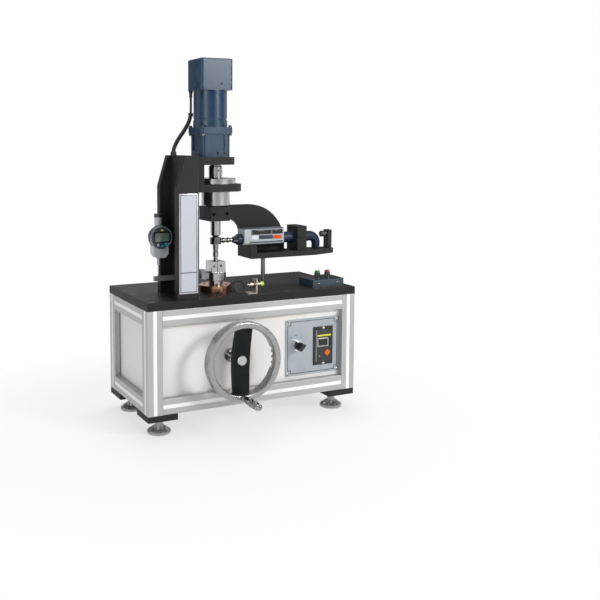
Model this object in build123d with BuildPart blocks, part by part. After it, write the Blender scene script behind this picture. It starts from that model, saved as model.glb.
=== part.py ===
"""Cap torque tester: a motor swings a torque wrench round a lifting chuck, on a profile-frame stand.

Millimetres, +Z up, +X to the operator's right, the operator stands at -Y.
The origin is on the floor, under the middle of the whole outline.
"""
from build123d import *
from math import cos, radians, sin, tan
import os

os.makedirs("parts", exist_ok=True)

# Stand: profile frame, feet and table
table_length = 600
table_depth = 300
table_thick = 20
post_length = 262
profile = 40
slot_mouth = 10
slot_lip = 4.5
slot_width = 18
slot_floor = 9
slot_depth = 12
profile_core = 6.8
cover_recess = 0.5
panel_thick = 5
corner_x = 80
corner_y = 85
corner_thick = 16
foot_height = 42
foot_radius = 30
foot_inset = 45
stud_radius = 6

# Clearances: a close fit, a running fit, a sliding button
fit_gap = 0.1
run_gap = 0.05
free_gap = 0.3

# Spindle and handwheel places, from the middle, the front edge and the top of the table
spindle_x = -69
spindle_inset = 106
wheel_drop = 153
wheel_front_gap = 72
wheel_radius = 101
wheel_rim = 16.5
wheel_depth = 28
grip_length = 90

# Column, drive bracket and motor
column_width = 58
column_depth = 141
column_left = -214.5
column_inset = 13
column_height = 357
column_plate = 20
slant_start = 277
slant_run = 24
web_thick = 25
bracket_depth = 110
bracket_stem = 31.5
arm_thick = 19.6
arm_gap = 49.7
lower_arm_z = 263.4
lower_arm_reach = 57
upper_arm_reach = 35
lower_chamfer = 19
upper_chamfer = 13.5
motor_offset = -15
motor_square = 90
gearhead_square = 80
gearhead_height = 60
flange_thick = 16.3
motor_radius = 43.5
motor_length = 94
cover_height = 80
motor_shaft_radius = 7.5
motor_shaft_length = 20

# Bearing housing and spindle
bearing_flange_radius = 53
bearing_flange_thick = 14
bearing_body_radius = 37.5
bearing_body_drop = 37.4
spindle_radius = 12.5
nose_radius = 13.4
nose_length = 38
nose_cone = 5.3
nose_tip_radius = 6
coupling_radius = 18
coupling_length = 33.5

# Clamp block, swing arm and tray
block_width = 58
block_front = 30.5
block_height = 37
block_gap = 3
block_slit = 1
arm_plate = 15
arm_front = 26
inner_arc = 39
outer_arc = 111
outer_arc_x = 111
tray_left = 85.5
tray_wide = 197.5
tray_tail = 71
tray_half = 40.6
tail_half = 18
tray_z = 83
tray_thick = 14
tray_wall = 16.5
rod_radius = 6
rod_reach = 141.5
rod_low = 14.6

# Torque wrench, its saddle and stop
wrench_z = 132
head_radius = 15
head_height = 17.5
neck_radius = 5.5
collar_start = 60.5
collar_long = 27
collar_radius = 14.6
tube_radius = 15
core_radius = 11
tail_radius = 11
tail_bend = 20
case_left = 75.3
case_length = 119
case_height = 43.5
case_depth = 42
case_bottom = 117.8
saddle_left = 232
saddle_long = 29
saddle_deep = 62
saddle_height = 66
saddle_slit = 1.6
stop_x = 340
stop_long = 13
stop_deep = 24
stop_height = 50
press_radius = 8.5
press_rise = 4

# Chuck, lift and measuring bar
adapter_radius = 7.5
adapter_shank = 6
adapter_neck_z = 91
adapter_seat = 8
chuck_radius = 28
chuck_flat = 20
chuck_top = 78.7
chuck_split = 49.8
chuck_bottom = 28.5
lift_shaft_radius = 19
lift_up = 12
lift_down = 9.5
guide_radius = 43.4
guide_height = 16.8
bar_z = 36.5
bar_high = 12
bar_deep = 12
bar_left = 173
bar_clamp_left = 46
bar_clamp_right = 19
screw_radius = 9
hub_radius = 15
bevel_small = 20
bevel_large = 29
bevel_gap = 0.5
gear_rim = 5
wheel_shaft_radius = 8

# Dial indicator
dial_x = 161
dial_z = 150
dial_radius = 29
dial_depth = 22
dial_back = 13
dial_front = 24
dial_foot = 98
stem_low = 78
stem_radius = 4
plunger_radius = 2.2
ball_radius = 2.6
key_radius = 3.2
key_throw = 0.8

# Button box, control plate and sensor
box_side_inset = 66.5
box_front_inset = 67
box_wide = 97
box_deep = 76
box_high = 21
box_lid = 2.5
box_wall = 1.5
collar_low = 9
collar_top = 8
collar_high = 12
cap_radius = 7
cap_high = 4.5
cap_throw = 3
button_pitch = 32
button_shift = 8.5
button_back = 8
control_wide = 167
control_low_gap = 10
control_top_gap = 19
control_thick = 2
selector_left = 51.5
selector_rise = 7.5
selector_radius = 15
selector_bore = 12
selector_collar = 14
controller_right = 32
controller_sink = 1.5
controller_wide = 60
controller_high = 104
controller_thick = 4
speed_key_side = 14
sensor_x = 5
sensor_inset = 25
sensor_z = 23
sensor_radius = 6
sensor_plate = 3
sensor_wide = 22
cable_radius = 2
lead_radius = 3
conduit_radius = 5.5

# Levels and places that follow from the sizes above
table_top = foot_height + corner_thick + post_length + table_thick
wheel_front = -table_depth / 2 - wheel_front_gap
table_y = -(wheel_front - grip_length + table_depth / 2) / 2
frame_low = foot_height + corner_thick
frame_high = frame_low + post_length
post_x = table_length / 2 - profile / 2
post_y = table_depth / 2 - profile / 2
rail_long = table_length - 2 * profile
rail_short = table_depth - 2 * profile
table_front = table_y - table_depth / 2
axis_y = table_front + spindle_inset
box_x = table_length / 2 - box_side_inset
housing_top = lower_arm_z + arm_thick
upper_arm_z = housing_top + arm_gap
motor_base = upper_arm_z + arm_thick
motor_x = spindle_x + motor_offset
block_top = lower_arm_z - bearing_body_drop - block_gap
block_low = block_top - block_height
wheel_z = table_top - wheel_drop
column_right = column_left + column_width
panel_face = table_y - post_y - panel_thick / 2


def upright(y):
    """The plane that faces the operator at a place on Y: its local axes are X and Z."""
    return Plane(origin=(0, y, 0), x_dir=(1, 0, 0), z_dir=(0, -1, 0))


def flat(x, y, z):
    """A horizontal plane with its origin at a place, the height counted from the table top."""
    return Plane.XY.move(Location((x, y, table_top + z)))


def facing(x, y, z):
    """A plane that faces the operator with its origin at a place above the table top."""
    return Plane(origin=(x, y, table_top + z), x_dir=(1, 0, 0), z_dir=(0, -1, 0))


def save(part, name):
    part.label = name
    export_step(part, f"parts/{name}.step")


spindle_axis = Axis((spindle_x, axis_y, 0), (0, 0, 1))

# Profile section with four T-slots, shared by posts and rails
with BuildSketch() as profile_section:
    RectangleRounded(profile, profile, 1.5)
    with PolarLocations(0, 4):
        with Locations((profile / 2 - slot_lip / 2, 0)):
            Rectangle(slot_lip, slot_mouth, mode=Mode.SUBTRACT)
        Polygon((profile / 2 - slot_lip, slot_width / 2), (profile / 2 - slot_lip - 2.5, slot_width / 2),
                (profile / 2 - slot_depth, slot_floor / 2), (profile / 2 - slot_depth, -slot_floor / 2),
                (profile / 2 - slot_lip - 2.5, -slot_width / 2), (profile / 2 - slot_lip, -slot_width / 2),
                align=None, mode=Mode.SUBTRACT)
    Circle(profile_core / 2, mode=Mode.SUBTRACT)

with BuildPart() as frame_posts:
    with BuildSketch(Plane.XY.offset(frame_low)):
        with Locations((0, table_y)):
            with GridLocations(2 * post_x, 2 * post_y, 2, 2):
                add(profile_section.sketch)
    extrude(amount=post_length)
save(frame_posts.part, "frame_posts")

rail_levels = (frame_low + profile / 2, frame_high - profile / 2)
with BuildPart() as frame_rails:
    with BuildSketch(Plane.YZ.offset(-rail_long / 2)):
        with Locations(*[(table_y + side * post_y, z) for side in (-1, 1) for z in rail_levels]):
            add(profile_section.sketch)
    extrude(amount=rail_long)
    with BuildSketch(Plane.XZ.offset(-table_y - rail_short / 2)):
        with Locations(*[(side * post_x, z) for side in (-1, 1) for z in rail_levels]):
            add(profile_section.sketch)
    extrude(amount=rail_short)
save(frame_rails.part, "frame_rails")

# Slot covers: a strip in the outer slot of every post and rail
cover_thick = slot_lip - cover_recess
cover_x = table_length / 2 - cover_recess - cover_thick / 2
cover_y = table_depth / 2 - cover_recess - cover_thick / 2
with BuildPart() as slot_covers:
    with Locations((0, table_y, frame_low + post_length / 2)):
        with GridLocations(2 * post_x, 2 * cover_y, 2, 2):
            Box(slot_mouth, cover_thick, post_length)
        with GridLocations(2 * cover_x, 2 * post_y, 2, 2):
            Box(cover_thick, slot_mouth, post_length)
    for z in rail_levels:
        with Locations((0, table_y, z)):
            with GridLocations(0, 2 * cover_y, 1, 2):
                Box(rail_long, cover_thick, slot_mouth)
            with GridLocations(2 * cover_x, 0, 2, 1):
                Box(cover_thick, rail_short, slot_mouth)
save(slot_covers.part, "slot_covers")

# Panels: their edges stand on the floors of the frame's inner slots
panel_high = post_length - 2 * profile + 2 * slot_depth
panel_middle = frame_low + post_length / 2
bushing_radius = wheel_shaft_radius + 6
with BuildPart() as front_panel:
    with Locations((0, table_y - post_y, panel_middle)):
        Box(rail_long + 2 * slot_depth, panel_thick, panel_high)
    with BuildSketch(upright(panel_face)):
        with Locations((spindle_x, wheel_z)):
            Circle(bushing_radius)
    extrude(amount=-panel_thick, mode=Mode.SUBTRACT)
save(front_panel.part, "front_panel")

with BuildPart() as closing_panels:
    with Locations((0, table_y + post_y, panel_middle)):
        Box(rail_long + 2 * slot_depth, panel_thick, panel_high)
    with Locations((0, table_y, panel_middle)):
        with GridLocations(2 * post_x, 0, 2, 1):
            Box(panel_thick, rail_short + 2 * slot_depth, panel_high)
    with Locations((0, table_y, frame_low + profile / 2)):
        Box(rail_long, rail_short + 2 * slot_depth, panel_thick)
save(closing_panels.part, "closing_panels")

# Corner plates under the posts, with a hole for each foot's stud
foot_x = table_length / 2 - foot_inset
foot_y = table_depth / 2 - foot_inset
foot_places = [(i * foot_x, table_y + j * foot_y) for i in (-1, 1) for j in (-1, 1)]
with BuildPart() as corner_plates:
    with BuildSketch(Plane.XY.offset(foot_height)):
        with Locations((0, table_y)):
            with GridLocations(table_length - corner_x, table_depth - corner_y, 2, 2):
                RectangleRounded(corner_x, corner_y, 3)
        with Locations(*foot_places):
            Circle(stud_radius + fit_gap, mode=Mode.SUBTRACT)
    extrude(amount=corner_thick)
save(corner_plates.part, "corner_plates")

# Levelling foot: ribbed pad, two hexagon nuts and a stud
pad_rim = 9
pad_top = 21
pad_neck = 12
rib_count = 8
rib_thick = 3
nut_across = 19
nut_high = 9
with BuildPart() as foot:
    with BuildSketch(Plane.XZ):
        Polygon((0, 0), (foot_radius - 2, 0), (foot_radius, 2), (foot_radius, pad_rim - 2),
                (foot_radius - 2, pad_rim), (pad_neck + 2, pad_rim + 4), (pad_neck, pad_top), (0, pad_top),
                align=None)
    revolve(axis=Axis.Z)
    with BuildSketch(Plane.XZ):
        Polygon((0, 2), (foot_radius - 4, 2), (foot_radius - 4, pad_rim + 2), (pad_neck, pad_top - 1),
                (0, pad_top - 1), align=None)
    rib = extrude(amount=rib_thick / 2, both=True, mode=Mode.PRIVATE)
    with PolarLocations(0, rib_count):
        add(rib)
    with BuildSketch(Plane.XY.offset(pad_top), Plane.XY.offset(foot_height - nut_high)):
        RegularPolygon(nut_across / 2, 6, major_radius=False)
    extrude(amount=nut_high)
    with BuildSketch(Plane.XY.offset(pad_top)):
        Circle(stud_radius)
    extrude(amount=foot_height - pad_top + corner_thick - 1)

with BuildPart() as levelling_feet:
    with Locations(*foot_places):
        add(foot.part)
save(levelling_feet.part, "levelling_feet")

# Table plate with its bores and countersunk screw holes
screw_head = 7
screw_bore = 3.3
screw_deep = 18
sink_deep = 4.5
screw_places = [(i * post_x, table_y + j * post_y) for i in (-1, 1) for j in (-1, 0, 1)]
screw_places += [(i * post_x * 0.35, table_y + j * post_y) for i in (-1, 1) for j in (-1, 1)]
cable_hole = (spindle_x + 8, axis_y - 52)
with BuildPart() as table_plate:
    with Locations((0, table_y, table_top - table_thick / 2)):
        Box(table_length, table_depth, table_thick)
    chamfer(table_plate.edges().group_by(Axis.Z)[-1], length=1)
    with BuildSketch(Plane.XY.offset(table_top)):
        with Locations((spindle_x, axis_y)):
            Circle(lift_shaft_radius + 2)
        with Locations(cable_hole):
            Circle(cable_radius + fit_gap)
        with Locations(*screw_places):
            Circle(screw_bore + fit_gap)
    extrude(amount=-table_thick, mode=Mode.SUBTRACT)
    with Locations(*[(x, y, table_top) for x, y in screw_places]):
        Cone(screw_bore + fit_gap, screw_head + 0.5 + fit_gap, sink_deep,
             align=(Align.CENTER, Align.CENTER, Align.MAX), mode=Mode.SUBTRACT)
save(table_plate.part, "table_plate")

# Column: front and rear plates with slanted heads, and the web between them
column_front_y = table_front + column_inset
column_rear_y = column_front_y + column_depth
rear_plate_y = column_rear_y - column_plate
with BuildPart() as column_plates:
    with BuildSketch(upright(column_front_y), upright(rear_plate_y)):
        Polygon((column_left, table_top), (column_right, table_top), (column_right, table_top + column_height),
                (column_left + slant_run, table_top + column_height), (column_left, table_top + slant_start),
                align=None)
    extrude(amount=-column_plate)
    chamfer(column_plates.edges().filter_by(Axis.Z), length=1)
save(column_plates.part, "column_plates")

web_x = column_right - web_thick
web_y = column_front_y + column_depth / 2
slot_low = bar_z - lift_down - 3
slot_high = bar_z + bar_high + lift_up + 3
web_screws = [(side * 26.5, z) for side in (-1, 1) for z in (346, 272, 187)]
web_screws += [(3.5, 320), (3.5, 300), (29, 167), (31, 13), (-31, 13)]
web_screw_head = 6
web_screw_sink = 7
web_screw_places = [Location((web_x, web_y + y, table_top + z), (0, -90, 0)) for y, z in web_screws]
with BuildPart() as column_web:
    with Locations((web_x + web_thick / 2, web_y, table_top + column_height / 2)):
        Box(web_thick, column_depth - 2 * column_plate, column_height)
    with Locations((web_x + web_thick / 2, axis_y, table_top + (slot_low + slot_high) / 2)):
        Box(web_thick, bar_deep + 2, slot_high - slot_low, mode=Mode.SUBTRACT)
    with Locations(*web_screw_places):
        CounterBoreHole(screw_bore + fit_gap, web_screw_head + fit_gap, web_screw_sink, web_thick)
save(column_web.part, "column_web")

# Screws: countersunk ones in the table, socket heads in the web
downward = (Align.CENTER, Align.CENTER, Align.MAX)
with BuildPart() as socket_screw:
    with Locations((0, 0, -1)):
        Cylinder(web_screw_head, web_screw_sink - 1, align=downward)
    with Locations((0, 0, -2)):
        Cylinder(screw_bore, web_thick - 2, align=downward)
    with BuildSketch(Plane.XY.offset(-1)):
        RegularPolygon(2.9, 6)
    extrude(amount=-3.5, mode=Mode.SUBTRACT)
with BuildPart() as flat_screw:
    with Locations((0, 0, cover_recess - sink_deep)):
        Cone(screw_bore, screw_head, sink_deep - cover_recess, align=(Align.CENTER, Align.CENTER, Align.MIN))
    Cylinder(screw_bore, screw_deep, align=downward)
    with BuildSketch():
        RegularPolygon(2.6, 6)
    extrude(amount=-2.5, mode=Mode.SUBTRACT)
with BuildPart() as frame_screws:
    with Locations(*[(x, y, table_top - cover_recess) for x, y in screw_places]):
        add(flat_screw.part)
    with Locations(*web_screw_places):
        add(socket_screw.part)
save(frame_screws.part, "frame_screws")

# Drive bracket: a stem with two arms, bored for the bearing housing and the motor shaft
lower_tip = spindle_x + lower_arm_reach
upper_tip = spindle_x + upper_arm_reach
stem_right = column_right + bracket_stem
with BuildPart() as drive_bracket:
    with BuildSketch(facing(0, axis_y - bracket_depth / 2, 0)):
        Polygon((column_right, lower_arm_z), (lower_tip, lower_arm_z), (lower_tip, housing_top),
                (stem_right, housing_top), (stem_right, upper_arm_z), (upper_tip, upper_arm_z),
                (upper_tip, motor_base), (column_right, motor_base), align=None)
    extrude(amount=-bracket_depth)
    for tip, size in ((lower_tip, lower_chamfer), (upper_tip, upper_chamfer)):
        corners = drive_bracket.edges().filter_by(Axis.Z).filter_by_position(Axis.X, tip - 1, tip + 1)
        chamfer(corners, length=size)
    with BuildSketch(flat(spindle_x, axis_y, lower_arm_z)):
        Circle(bearing_body_radius + fit_gap)
    extrude(amount=arm_thick, mode=Mode.SUBTRACT)
    with BuildSketch(flat(spindle_x, axis_y, upper_arm_z)):
        Circle(motor_shaft_radius + 4.5)
    extrude(amount=arm_thick, mode=Mode.SUBTRACT)
save(drive_bracket.part, "drive_bracket")

# Gear motor: gearhead with corner pillars and flange, round body and terminal cover
gear_top = motor_base + gearhead_height
pocket_wide = gearhead_square - 34
pocket_high = gearhead_height - 18
pocket_deep = 3
with BuildPart() as gearhead:
    with BuildSketch(flat(motor_x, axis_y, motor_base)):
        RectangleRounded(gearhead_square, gearhead_square, 9)
    extrude(amount=gearhead_height)
    with Locations((motor_x, axis_y, table_top + motor_base + gearhead_height / 2 + 6)):
        with PolarLocations(gearhead_square / 2 - pocket_deep / 2, 4):
            Box(pocket_deep, pocket_wide, pocket_high, mode=Mode.SUBTRACT)
    with BuildSketch(flat(motor_x, axis_y, gear_top)):
        RectangleRounded(motor_square, motor_square, 8)
    extrude(amount=flange_thick)
    with BuildSketch(flat(spindle_x, axis_y, motor_base)):
        Circle(motor_shaft_radius + run_gap)
    extrude(amount=motor_shaft_length + 2, mode=Mode.SUBTRACT)
save(gearhead.part, "gearhead")

body_low = gear_top + flange_thick
cover_bottom = body_low + motor_length
with BuildPart() as motor_body:
    with BuildSketch(facing(motor_x, axis_y, 0)):
        Polygon((0, body_low), (motor_radius + 1, body_low), (motor_radius + 1, body_low + 17),
                (motor_radius - 1, body_low + 18), (motor_radius - 1, body_low + 22), (motor_radius, body_low + 23),
                (motor_radius, cover_bottom), (0, cover_bottom), align=None)
    revolve(axis=Axis((motor_x, axis_y, 0), (0, 0, 1)))
save(motor_body.part, "motor_body")

with BuildPart() as motor_cover:
    with BuildSketch(flat(motor_x, axis_y, cover_bottom)):
        RectangleRounded(motor_square, motor_square, 7)
    extrude(amount=cover_height)
    fillet(motor_cover.edges().group_by(Axis.Z)[-1], radius=4)
save(motor_cover.part, "motor_cover")

# Bearing housing: flange on the lower arm, body through it
body_foot = lower_arm_z - bearing_body_drop
flange_top = housing_top + bearing_flange_thick
with BuildPart() as bearing_housing:
    with BuildSketch(facing(spindle_x, axis_y, 0)):
        Polygon((spindle_radius + run_gap, body_foot), (bearing_body_radius - 1, body_foot),
                (bearing_body_radius, body_foot + 1), (bearing_body_radius, housing_top),
                (bearing_flange_radius, housing_top), (bearing_flange_radius, flange_top - 1),
                (bearing_flange_radius - 1, flange_top), (spindle_radius + run_gap, flange_top), align=None)
    revolve(axis=spindle_axis)
save(bearing_housing.part, "bearing_housing")

# Spindle: nose below the housing, journal through it, motor shaft above
coupling_foot = flange_top + 0.5
coupling_middle = coupling_foot + coupling_length / 2
coupling_head = coupling_foot + coupling_length
nose_low = block_low - nose_length
nose_tip = nose_low - nose_cone
journal_low = body_foot - 0.5
with BuildPart() as spindle_shaft:
    with BuildSketch(facing(spindle_x, axis_y, 0)):
        Polygon((0, nose_tip), (nose_tip_radius, nose_tip), (nose_radius, nose_low), (nose_radius, journal_low),
                (spindle_radius, journal_low), (spindle_radius, coupling_middle - 0.5), (0, coupling_middle - 0.5),
                align=None)
    revolve(axis=spindle_axis)
    with BuildSketch(flat(spindle_x, axis_y, coupling_middle + 0.5)):
        Circle(motor_shaft_radius)
    extrude(amount=motor_base + motor_shaft_length - coupling_middle - 0.5)
save(spindle_shaft.part, "spindle_shaft")

with BuildPart() as coupling:
    with BuildSketch(facing(spindle_x, axis_y, 0)):
        Polygon((spindle_radius + fit_gap, coupling_foot), (coupling_radius - 1, coupling_foot),
                (coupling_radius, coupling_foot + 1), (coupling_radius, coupling_head - 4),
                (coupling_radius - 3, coupling_head - 2), (coupling_radius - 3, coupling_head),
                (motor_shaft_radius + fit_gap, coupling_head), (motor_shaft_radius + fit_gap, coupling_middle),
                (spindle_radius + fit_gap, coupling_middle), align=None)
    revolve(axis=spindle_axis)
    with BuildSketch(facing(spindle_x, axis_y - coupling_radius, coupling_middle + 3)):
        Circle(2.5)
    extrude(amount=-(coupling_radius - motor_shaft_radius) + 2, mode=Mode.SUBTRACT)
save(coupling.part, "coupling")

# Clamp block: a front cap and a rear half, pinched on the spindle by two screws
with BuildPart() as clamp_block:
    with BuildSketch(flat(spindle_x, axis_y, block_low)):
        with Locations((0, (arm_front - block_front) / 2)):
            Rectangle(block_width, block_front + arm_front)
        Rectangle(block_width, block_slit, mode=Mode.SUBTRACT)
        Circle(nose_radius + fit_gap, mode=Mode.SUBTRACT)
    extrude(amount=block_height)
    chamfer(clamp_block.edges().filter_by(Axis.Z).group_by(Axis.Y)[0], length=1.5)
    with BuildSketch(facing(spindle_x, axis_y - block_front, block_low + block_height / 2)):
        with Locations((-19, 0), (19, 0)):
            Circle(5)
    extrude(amount=-8, mode=Mode.SUBTRACT)
save(clamp_block.part, "clamp_block")

# Swing arm: a plate that curves from the clamp block down to the back of the tray
arm_right = outer_arc_x + outer_arc
with BuildPart() as swing_arm:
    with BuildSketch(facing(spindle_x, axis_y + arm_front, 0)):
        with BuildLine():
            Line((-block_width / 2, block_low), (-block_width / 2, block_top))
            Line((-block_width / 2, block_top), (outer_arc_x, block_top))
            TangentArc((outer_arc_x, block_top), (arm_right, block_top - outer_arc), tangent=(1, 0))
            Line((arm_right, block_top - outer_arc), (arm_right, tray_z))
            Line((arm_right, tray_z), (tray_left, tray_z))
            Line((tray_left, tray_z), (tray_left, block_low - inner_arc))
            TangentArc((tray_left, block_low - inner_arc), (tray_left - inner_arc, block_low), tangent=(0, 1))
            Line((tray_left - inner_arc, block_low), (-block_width / 2, block_low))
        make_face()
    extrude(amount=-arm_plate)
save(swing_arm.part, "swing_arm")

# Tray: base plate with a tapered tail, and an end wall under the wrench's collar
tray_top = tray_z + tray_thick
tray_right = tray_left + tray_wide
with BuildPart() as tray:
    with BuildSketch(flat(spindle_x, axis_y, tray_z)):
        Polygon((tray_left, -tray_half), (tray_right, -tray_half), (tray_right + tray_tail, -tail_half),
                (tray_right + tray_tail, tail_half), (tray_right, arm_front), (tray_left, arm_front), align=None)
    extrude(amount=tray_thick)
    with BuildSketch(flat(spindle_x, axis_y, tray_top)):
        with Locations((tray_left + tray_wall / 2, (arm_front - tray_half) / 2)):
            Rectangle(tray_wall, tray_half + arm_front)
    extrude(amount=case_bottom - free_gap - tray_top)
    with Locations(Location((spindle_x + tray_left + tray_wall / 2, axis_y, table_top + wrench_z), (0, 90, 0))):
        Cylinder(collar_radius + free_gap, tray_wall + 2, mode=Mode.SUBTRACT)
save(tray.part, "tray")

# Saddle: two halves round the wrench's grip, parted at the grip's axis
saddle_x = spindle_x + saddle_left + saddle_long / 2


def saddle_half(low, high):
    """One half of the saddle between two heights, bored for the grip."""
    with BuildPart() as half:
        with Locations((saddle_x, axis_y, table_top + (low + high) / 2)):
            Box(saddle_long, saddle_deep, high - low)
        with Locations(Location((saddle_x, axis_y, table_top + wrench_z), (0, 90, 0))):
            Cylinder(tube_radius + fit_gap, saddle_long + 2, mode=Mode.SUBTRACT)
        chamfer(half.edges().filter_by(Axis.Z), length=1.5)
    return half.part


saddle_top = tray_top + saddle_height
save(saddle_half(tray_top, wrench_z - saddle_slit / 2), "saddle_lower")
with BuildPart() as saddle_upper:
    add(saddle_half(wrench_z + saddle_slit / 2, saddle_top))
    with Locations((saddle_x, axis_y, table_top + saddle_top)):
        with GridLocations(0, saddle_deep - 14, 1, 2):
            CounterBoreHole(screw_bore, 5.5, 6)
save(saddle_upper.part, "saddle_upper")

# End stop behind the wrench's tail, with its pressure screw
stop_left = spindle_x + stop_x
bend_start = saddle_left + saddle_long + 26
press_tip = spindle_x + bend_start + tail_bend + tail_radius + 4
press_z = wrench_z + press_rise
with BuildPart() as end_stop:
    with Locations((stop_left + stop_long / 2, axis_y, table_top + tray_top + stop_height / 2)):
        Box(stop_long, stop_deep, stop_height)
    chamfer(end_stop.edges().filter_by(Axis.Z), length=1)
    with Locations(Location((stop_left, axis_y, table_top + press_z), (0, 90, 0))):
        Cylinder(press_radius / 2 + fit_gap, 2 * stop_long + 2, mode=Mode.SUBTRACT)
save(end_stop.part, "end_stop")

with BuildPart() as pressure_screw:
    with BuildSketch(Plane.YZ.offset(press_tip)):
        with Locations((axis_y, table_top + press_z)):
            Circle(press_radius)
    extrude(amount=stop_left - press_tip - 1)
    chamfer(pressure_screw.faces().sort_by(Axis.X)[0].edges(), length=1.5)
    with BuildSketch(Plane.YZ.offset(stop_left - 1)):
        with Locations((axis_y, table_top + press_z)):
            Circle(press_radius / 2)
    extrude(amount=stop_long + 4)
save(pressure_screw.part, "pressure_screw")

# Trip rod that hangs from the tray and passes the sensor
with BuildPart() as arm_rod:
    with BuildSketch(flat(spindle_x + rod_reach, axis_y, rod_low)):
        Circle(rod_radius)
    extrude(amount=tray_z - rod_low)
    chamfer(arm_rod.faces().sort_by(Axis.Z)[0].edges(), length=1)
save(arm_rod.part, "arm_rod")

# Torque wrench: ratchet head and neck, grip with collar and bent tail, display case
head_top = wrench_z + head_height / 2
head_low = wrench_z - head_height / 2
collar_end = collar_start + collar_long
case_right = case_left + case_length
grip_end = saddle_left + saddle_long + 6
wrench_axis = Axis((0, axis_y, table_top + wrench_z), (1, 0, 0))
with BuildPart() as wrench_head:
    with BuildSketch(facing(spindle_x, axis_y, wrench_z)):
        Polygon((0, 0), (0, 4.5), (18, 4.5), (19, 7), (24, 7), (26, neck_radius), (30, neck_radius), (33, 6.5),
                (38, 6.5), (42, 5), (47, 5), (50, 8), (collar_start, 12), (collar_start, 0), align=None)
    revolve(axis=wrench_axis)
    with BuildSketch(flat(spindle_x, axis_y, head_low)):
        Circle(head_radius)
    extrude(amount=head_height)
    with BuildSketch(flat(spindle_x, axis_y, head_top)):
        Circle(head_radius - 6)
    extrude(amount=nose_tip - head_top)
save(wrench_head.part, "wrench_head")

with BuildPart() as wrench_tube:
    with BuildSketch(facing(spindle_x, axis_y, wrench_z)):
        Polygon((collar_start, 0), (collar_start, collar_radius - 2), (collar_start + 2, collar_radius),
                (collar_end, collar_radius), (collar_end + 1, core_radius), (case_right, core_radius),
                (case_right, tube_radius - 1), (case_right + 4, tube_radius), (grip_end, tube_radius),
                (grip_end, 0), align=None)
    revolve(axis=wrench_axis)
    with BuildLine(facing(spindle_x, axis_y, wrench_z)) as tail_path:
        FilletPolyline((grip_end, 0), (bend_start + tail_bend, 0), (bend_start + tail_bend, tray_top + 2 - wrench_z),
                       radius=tail_bend)
    with BuildSketch(Plane.YZ.offset(spindle_x + grip_end)):
        with Locations((axis_y, table_top + wrench_z)):
            Circle(tube_radius)
    with BuildSketch(flat(spindle_x + bend_start + tail_bend, axis_y, tray_top + 2)):
        Circle(tail_radius)
    sweep(path=tail_path.line, multisection=True)
save(wrench_tube.part, "wrench_tube")

button_x = spindle_x + case_left + 98.8
button_z = table_top + wrench_z + 4.5
with BuildPart() as wrench_case:
    with Locations((spindle_x + case_left + case_length / 2, axis_y, table_top + case_bottom + case_height / 2)):
        Box(case_length, case_depth, case_height)
    fillet(wrench_case.edges().filter_by(Axis.X), radius=7)
    with BuildSketch(facing(spindle_x, axis_y, wrench_z)):
        Polygon((case_left - 1, 0), (case_left - 1, collar_radius + free_gap),
                (collar_end + 1, collar_radius + free_gap), (collar_end + 1, core_radius + fit_gap),
                (case_right + 1, core_radius + fit_gap), (case_right + 1, 0), align=None)
    revolve(axis=wrench_axis, mode=Mode.SUBTRACT)
    with Locations((button_x, axis_y - case_depth / 2, button_z)):
        Box(27, 6, 9, mode=Mode.SUBTRACT)
save(wrench_case.part, "wrench_case")

with BuildPart() as wrench_button:
    with Locations((button_x, axis_y - case_depth / 2 - 0.2, button_z)):
        Box(27 - 2 * free_gap, 3.6, 9 - 2 * free_gap)
    fillet(wrench_button.edges().group_by(Axis.Y)[0], radius=0.8)
save(wrench_button.part, "wrench_button")

# Adapter between the wrench's head and the chuck
shank_low = chuck_top - adapter_seat
with BuildPart() as adapter:
    with BuildSketch(facing(spindle_x, axis_y, 0)):
        Polygon((0, shank_low), (adapter_shank - 1, shank_low), (adapter_shank, shank_low + 1),
                (adapter_shank, adapter_neck_z), (adapter_radius, adapter_neck_z),
                (adapter_radius, adapter_neck_z + 12), (adapter_radius - 1.5, adapter_neck_z + 13),
                (adapter_radius - 1.5, adapter_neck_z + 16), (adapter_radius, adapter_neck_z + 17),
                (adapter_radius, head_low), (0, head_low), align=None)
    revolve(axis=spindle_axis)
save(adapter.part, "adapter")

# Chuck: split clamp with four flats over a round body
with BuildPart() as chuck_body:
    with BuildSketch(flat(spindle_x, axis_y, chuck_split)):
        Circle(chuck_radius)
        Rectangle(2 * chuck_flat, 2 * chuck_flat, mode=Mode.INTERSECT)
        with Locations((-4, -chuck_flat / 2)):
            Rectangle(1.5, chuck_flat + 1, mode=Mode.SUBTRACT)
    extrude(amount=chuck_top - chuck_split)
    with BuildSketch(facing(spindle_x, axis_y, 0)):
        Polygon((0, chuck_bottom), (chuck_radius - 1, chuck_bottom), (chuck_radius, chuck_bottom + 1),
                (chuck_radius, chuck_split - 1.5), (chuck_radius - 1.5, chuck_split), (0, chuck_split), align=None)
    revolve(axis=spindle_axis)
    with BuildSketch(flat(spindle_x, axis_y, chuck_top)):
        Circle(adapter_shank + free_gap)
    extrude(amount=-(adapter_seat + lift_up + 3), mode=Mode.SUBTRACT)
    with BuildSketch(facing(spindle_x, axis_y - chuck_flat, 68)):
        with Locations((-13.5, 0), (5.5, 0)):
            Circle(4)
    extrude(amount=-6, mode=Mode.SUBTRACT)
save(chuck_body.part, "chuck_body")

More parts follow.
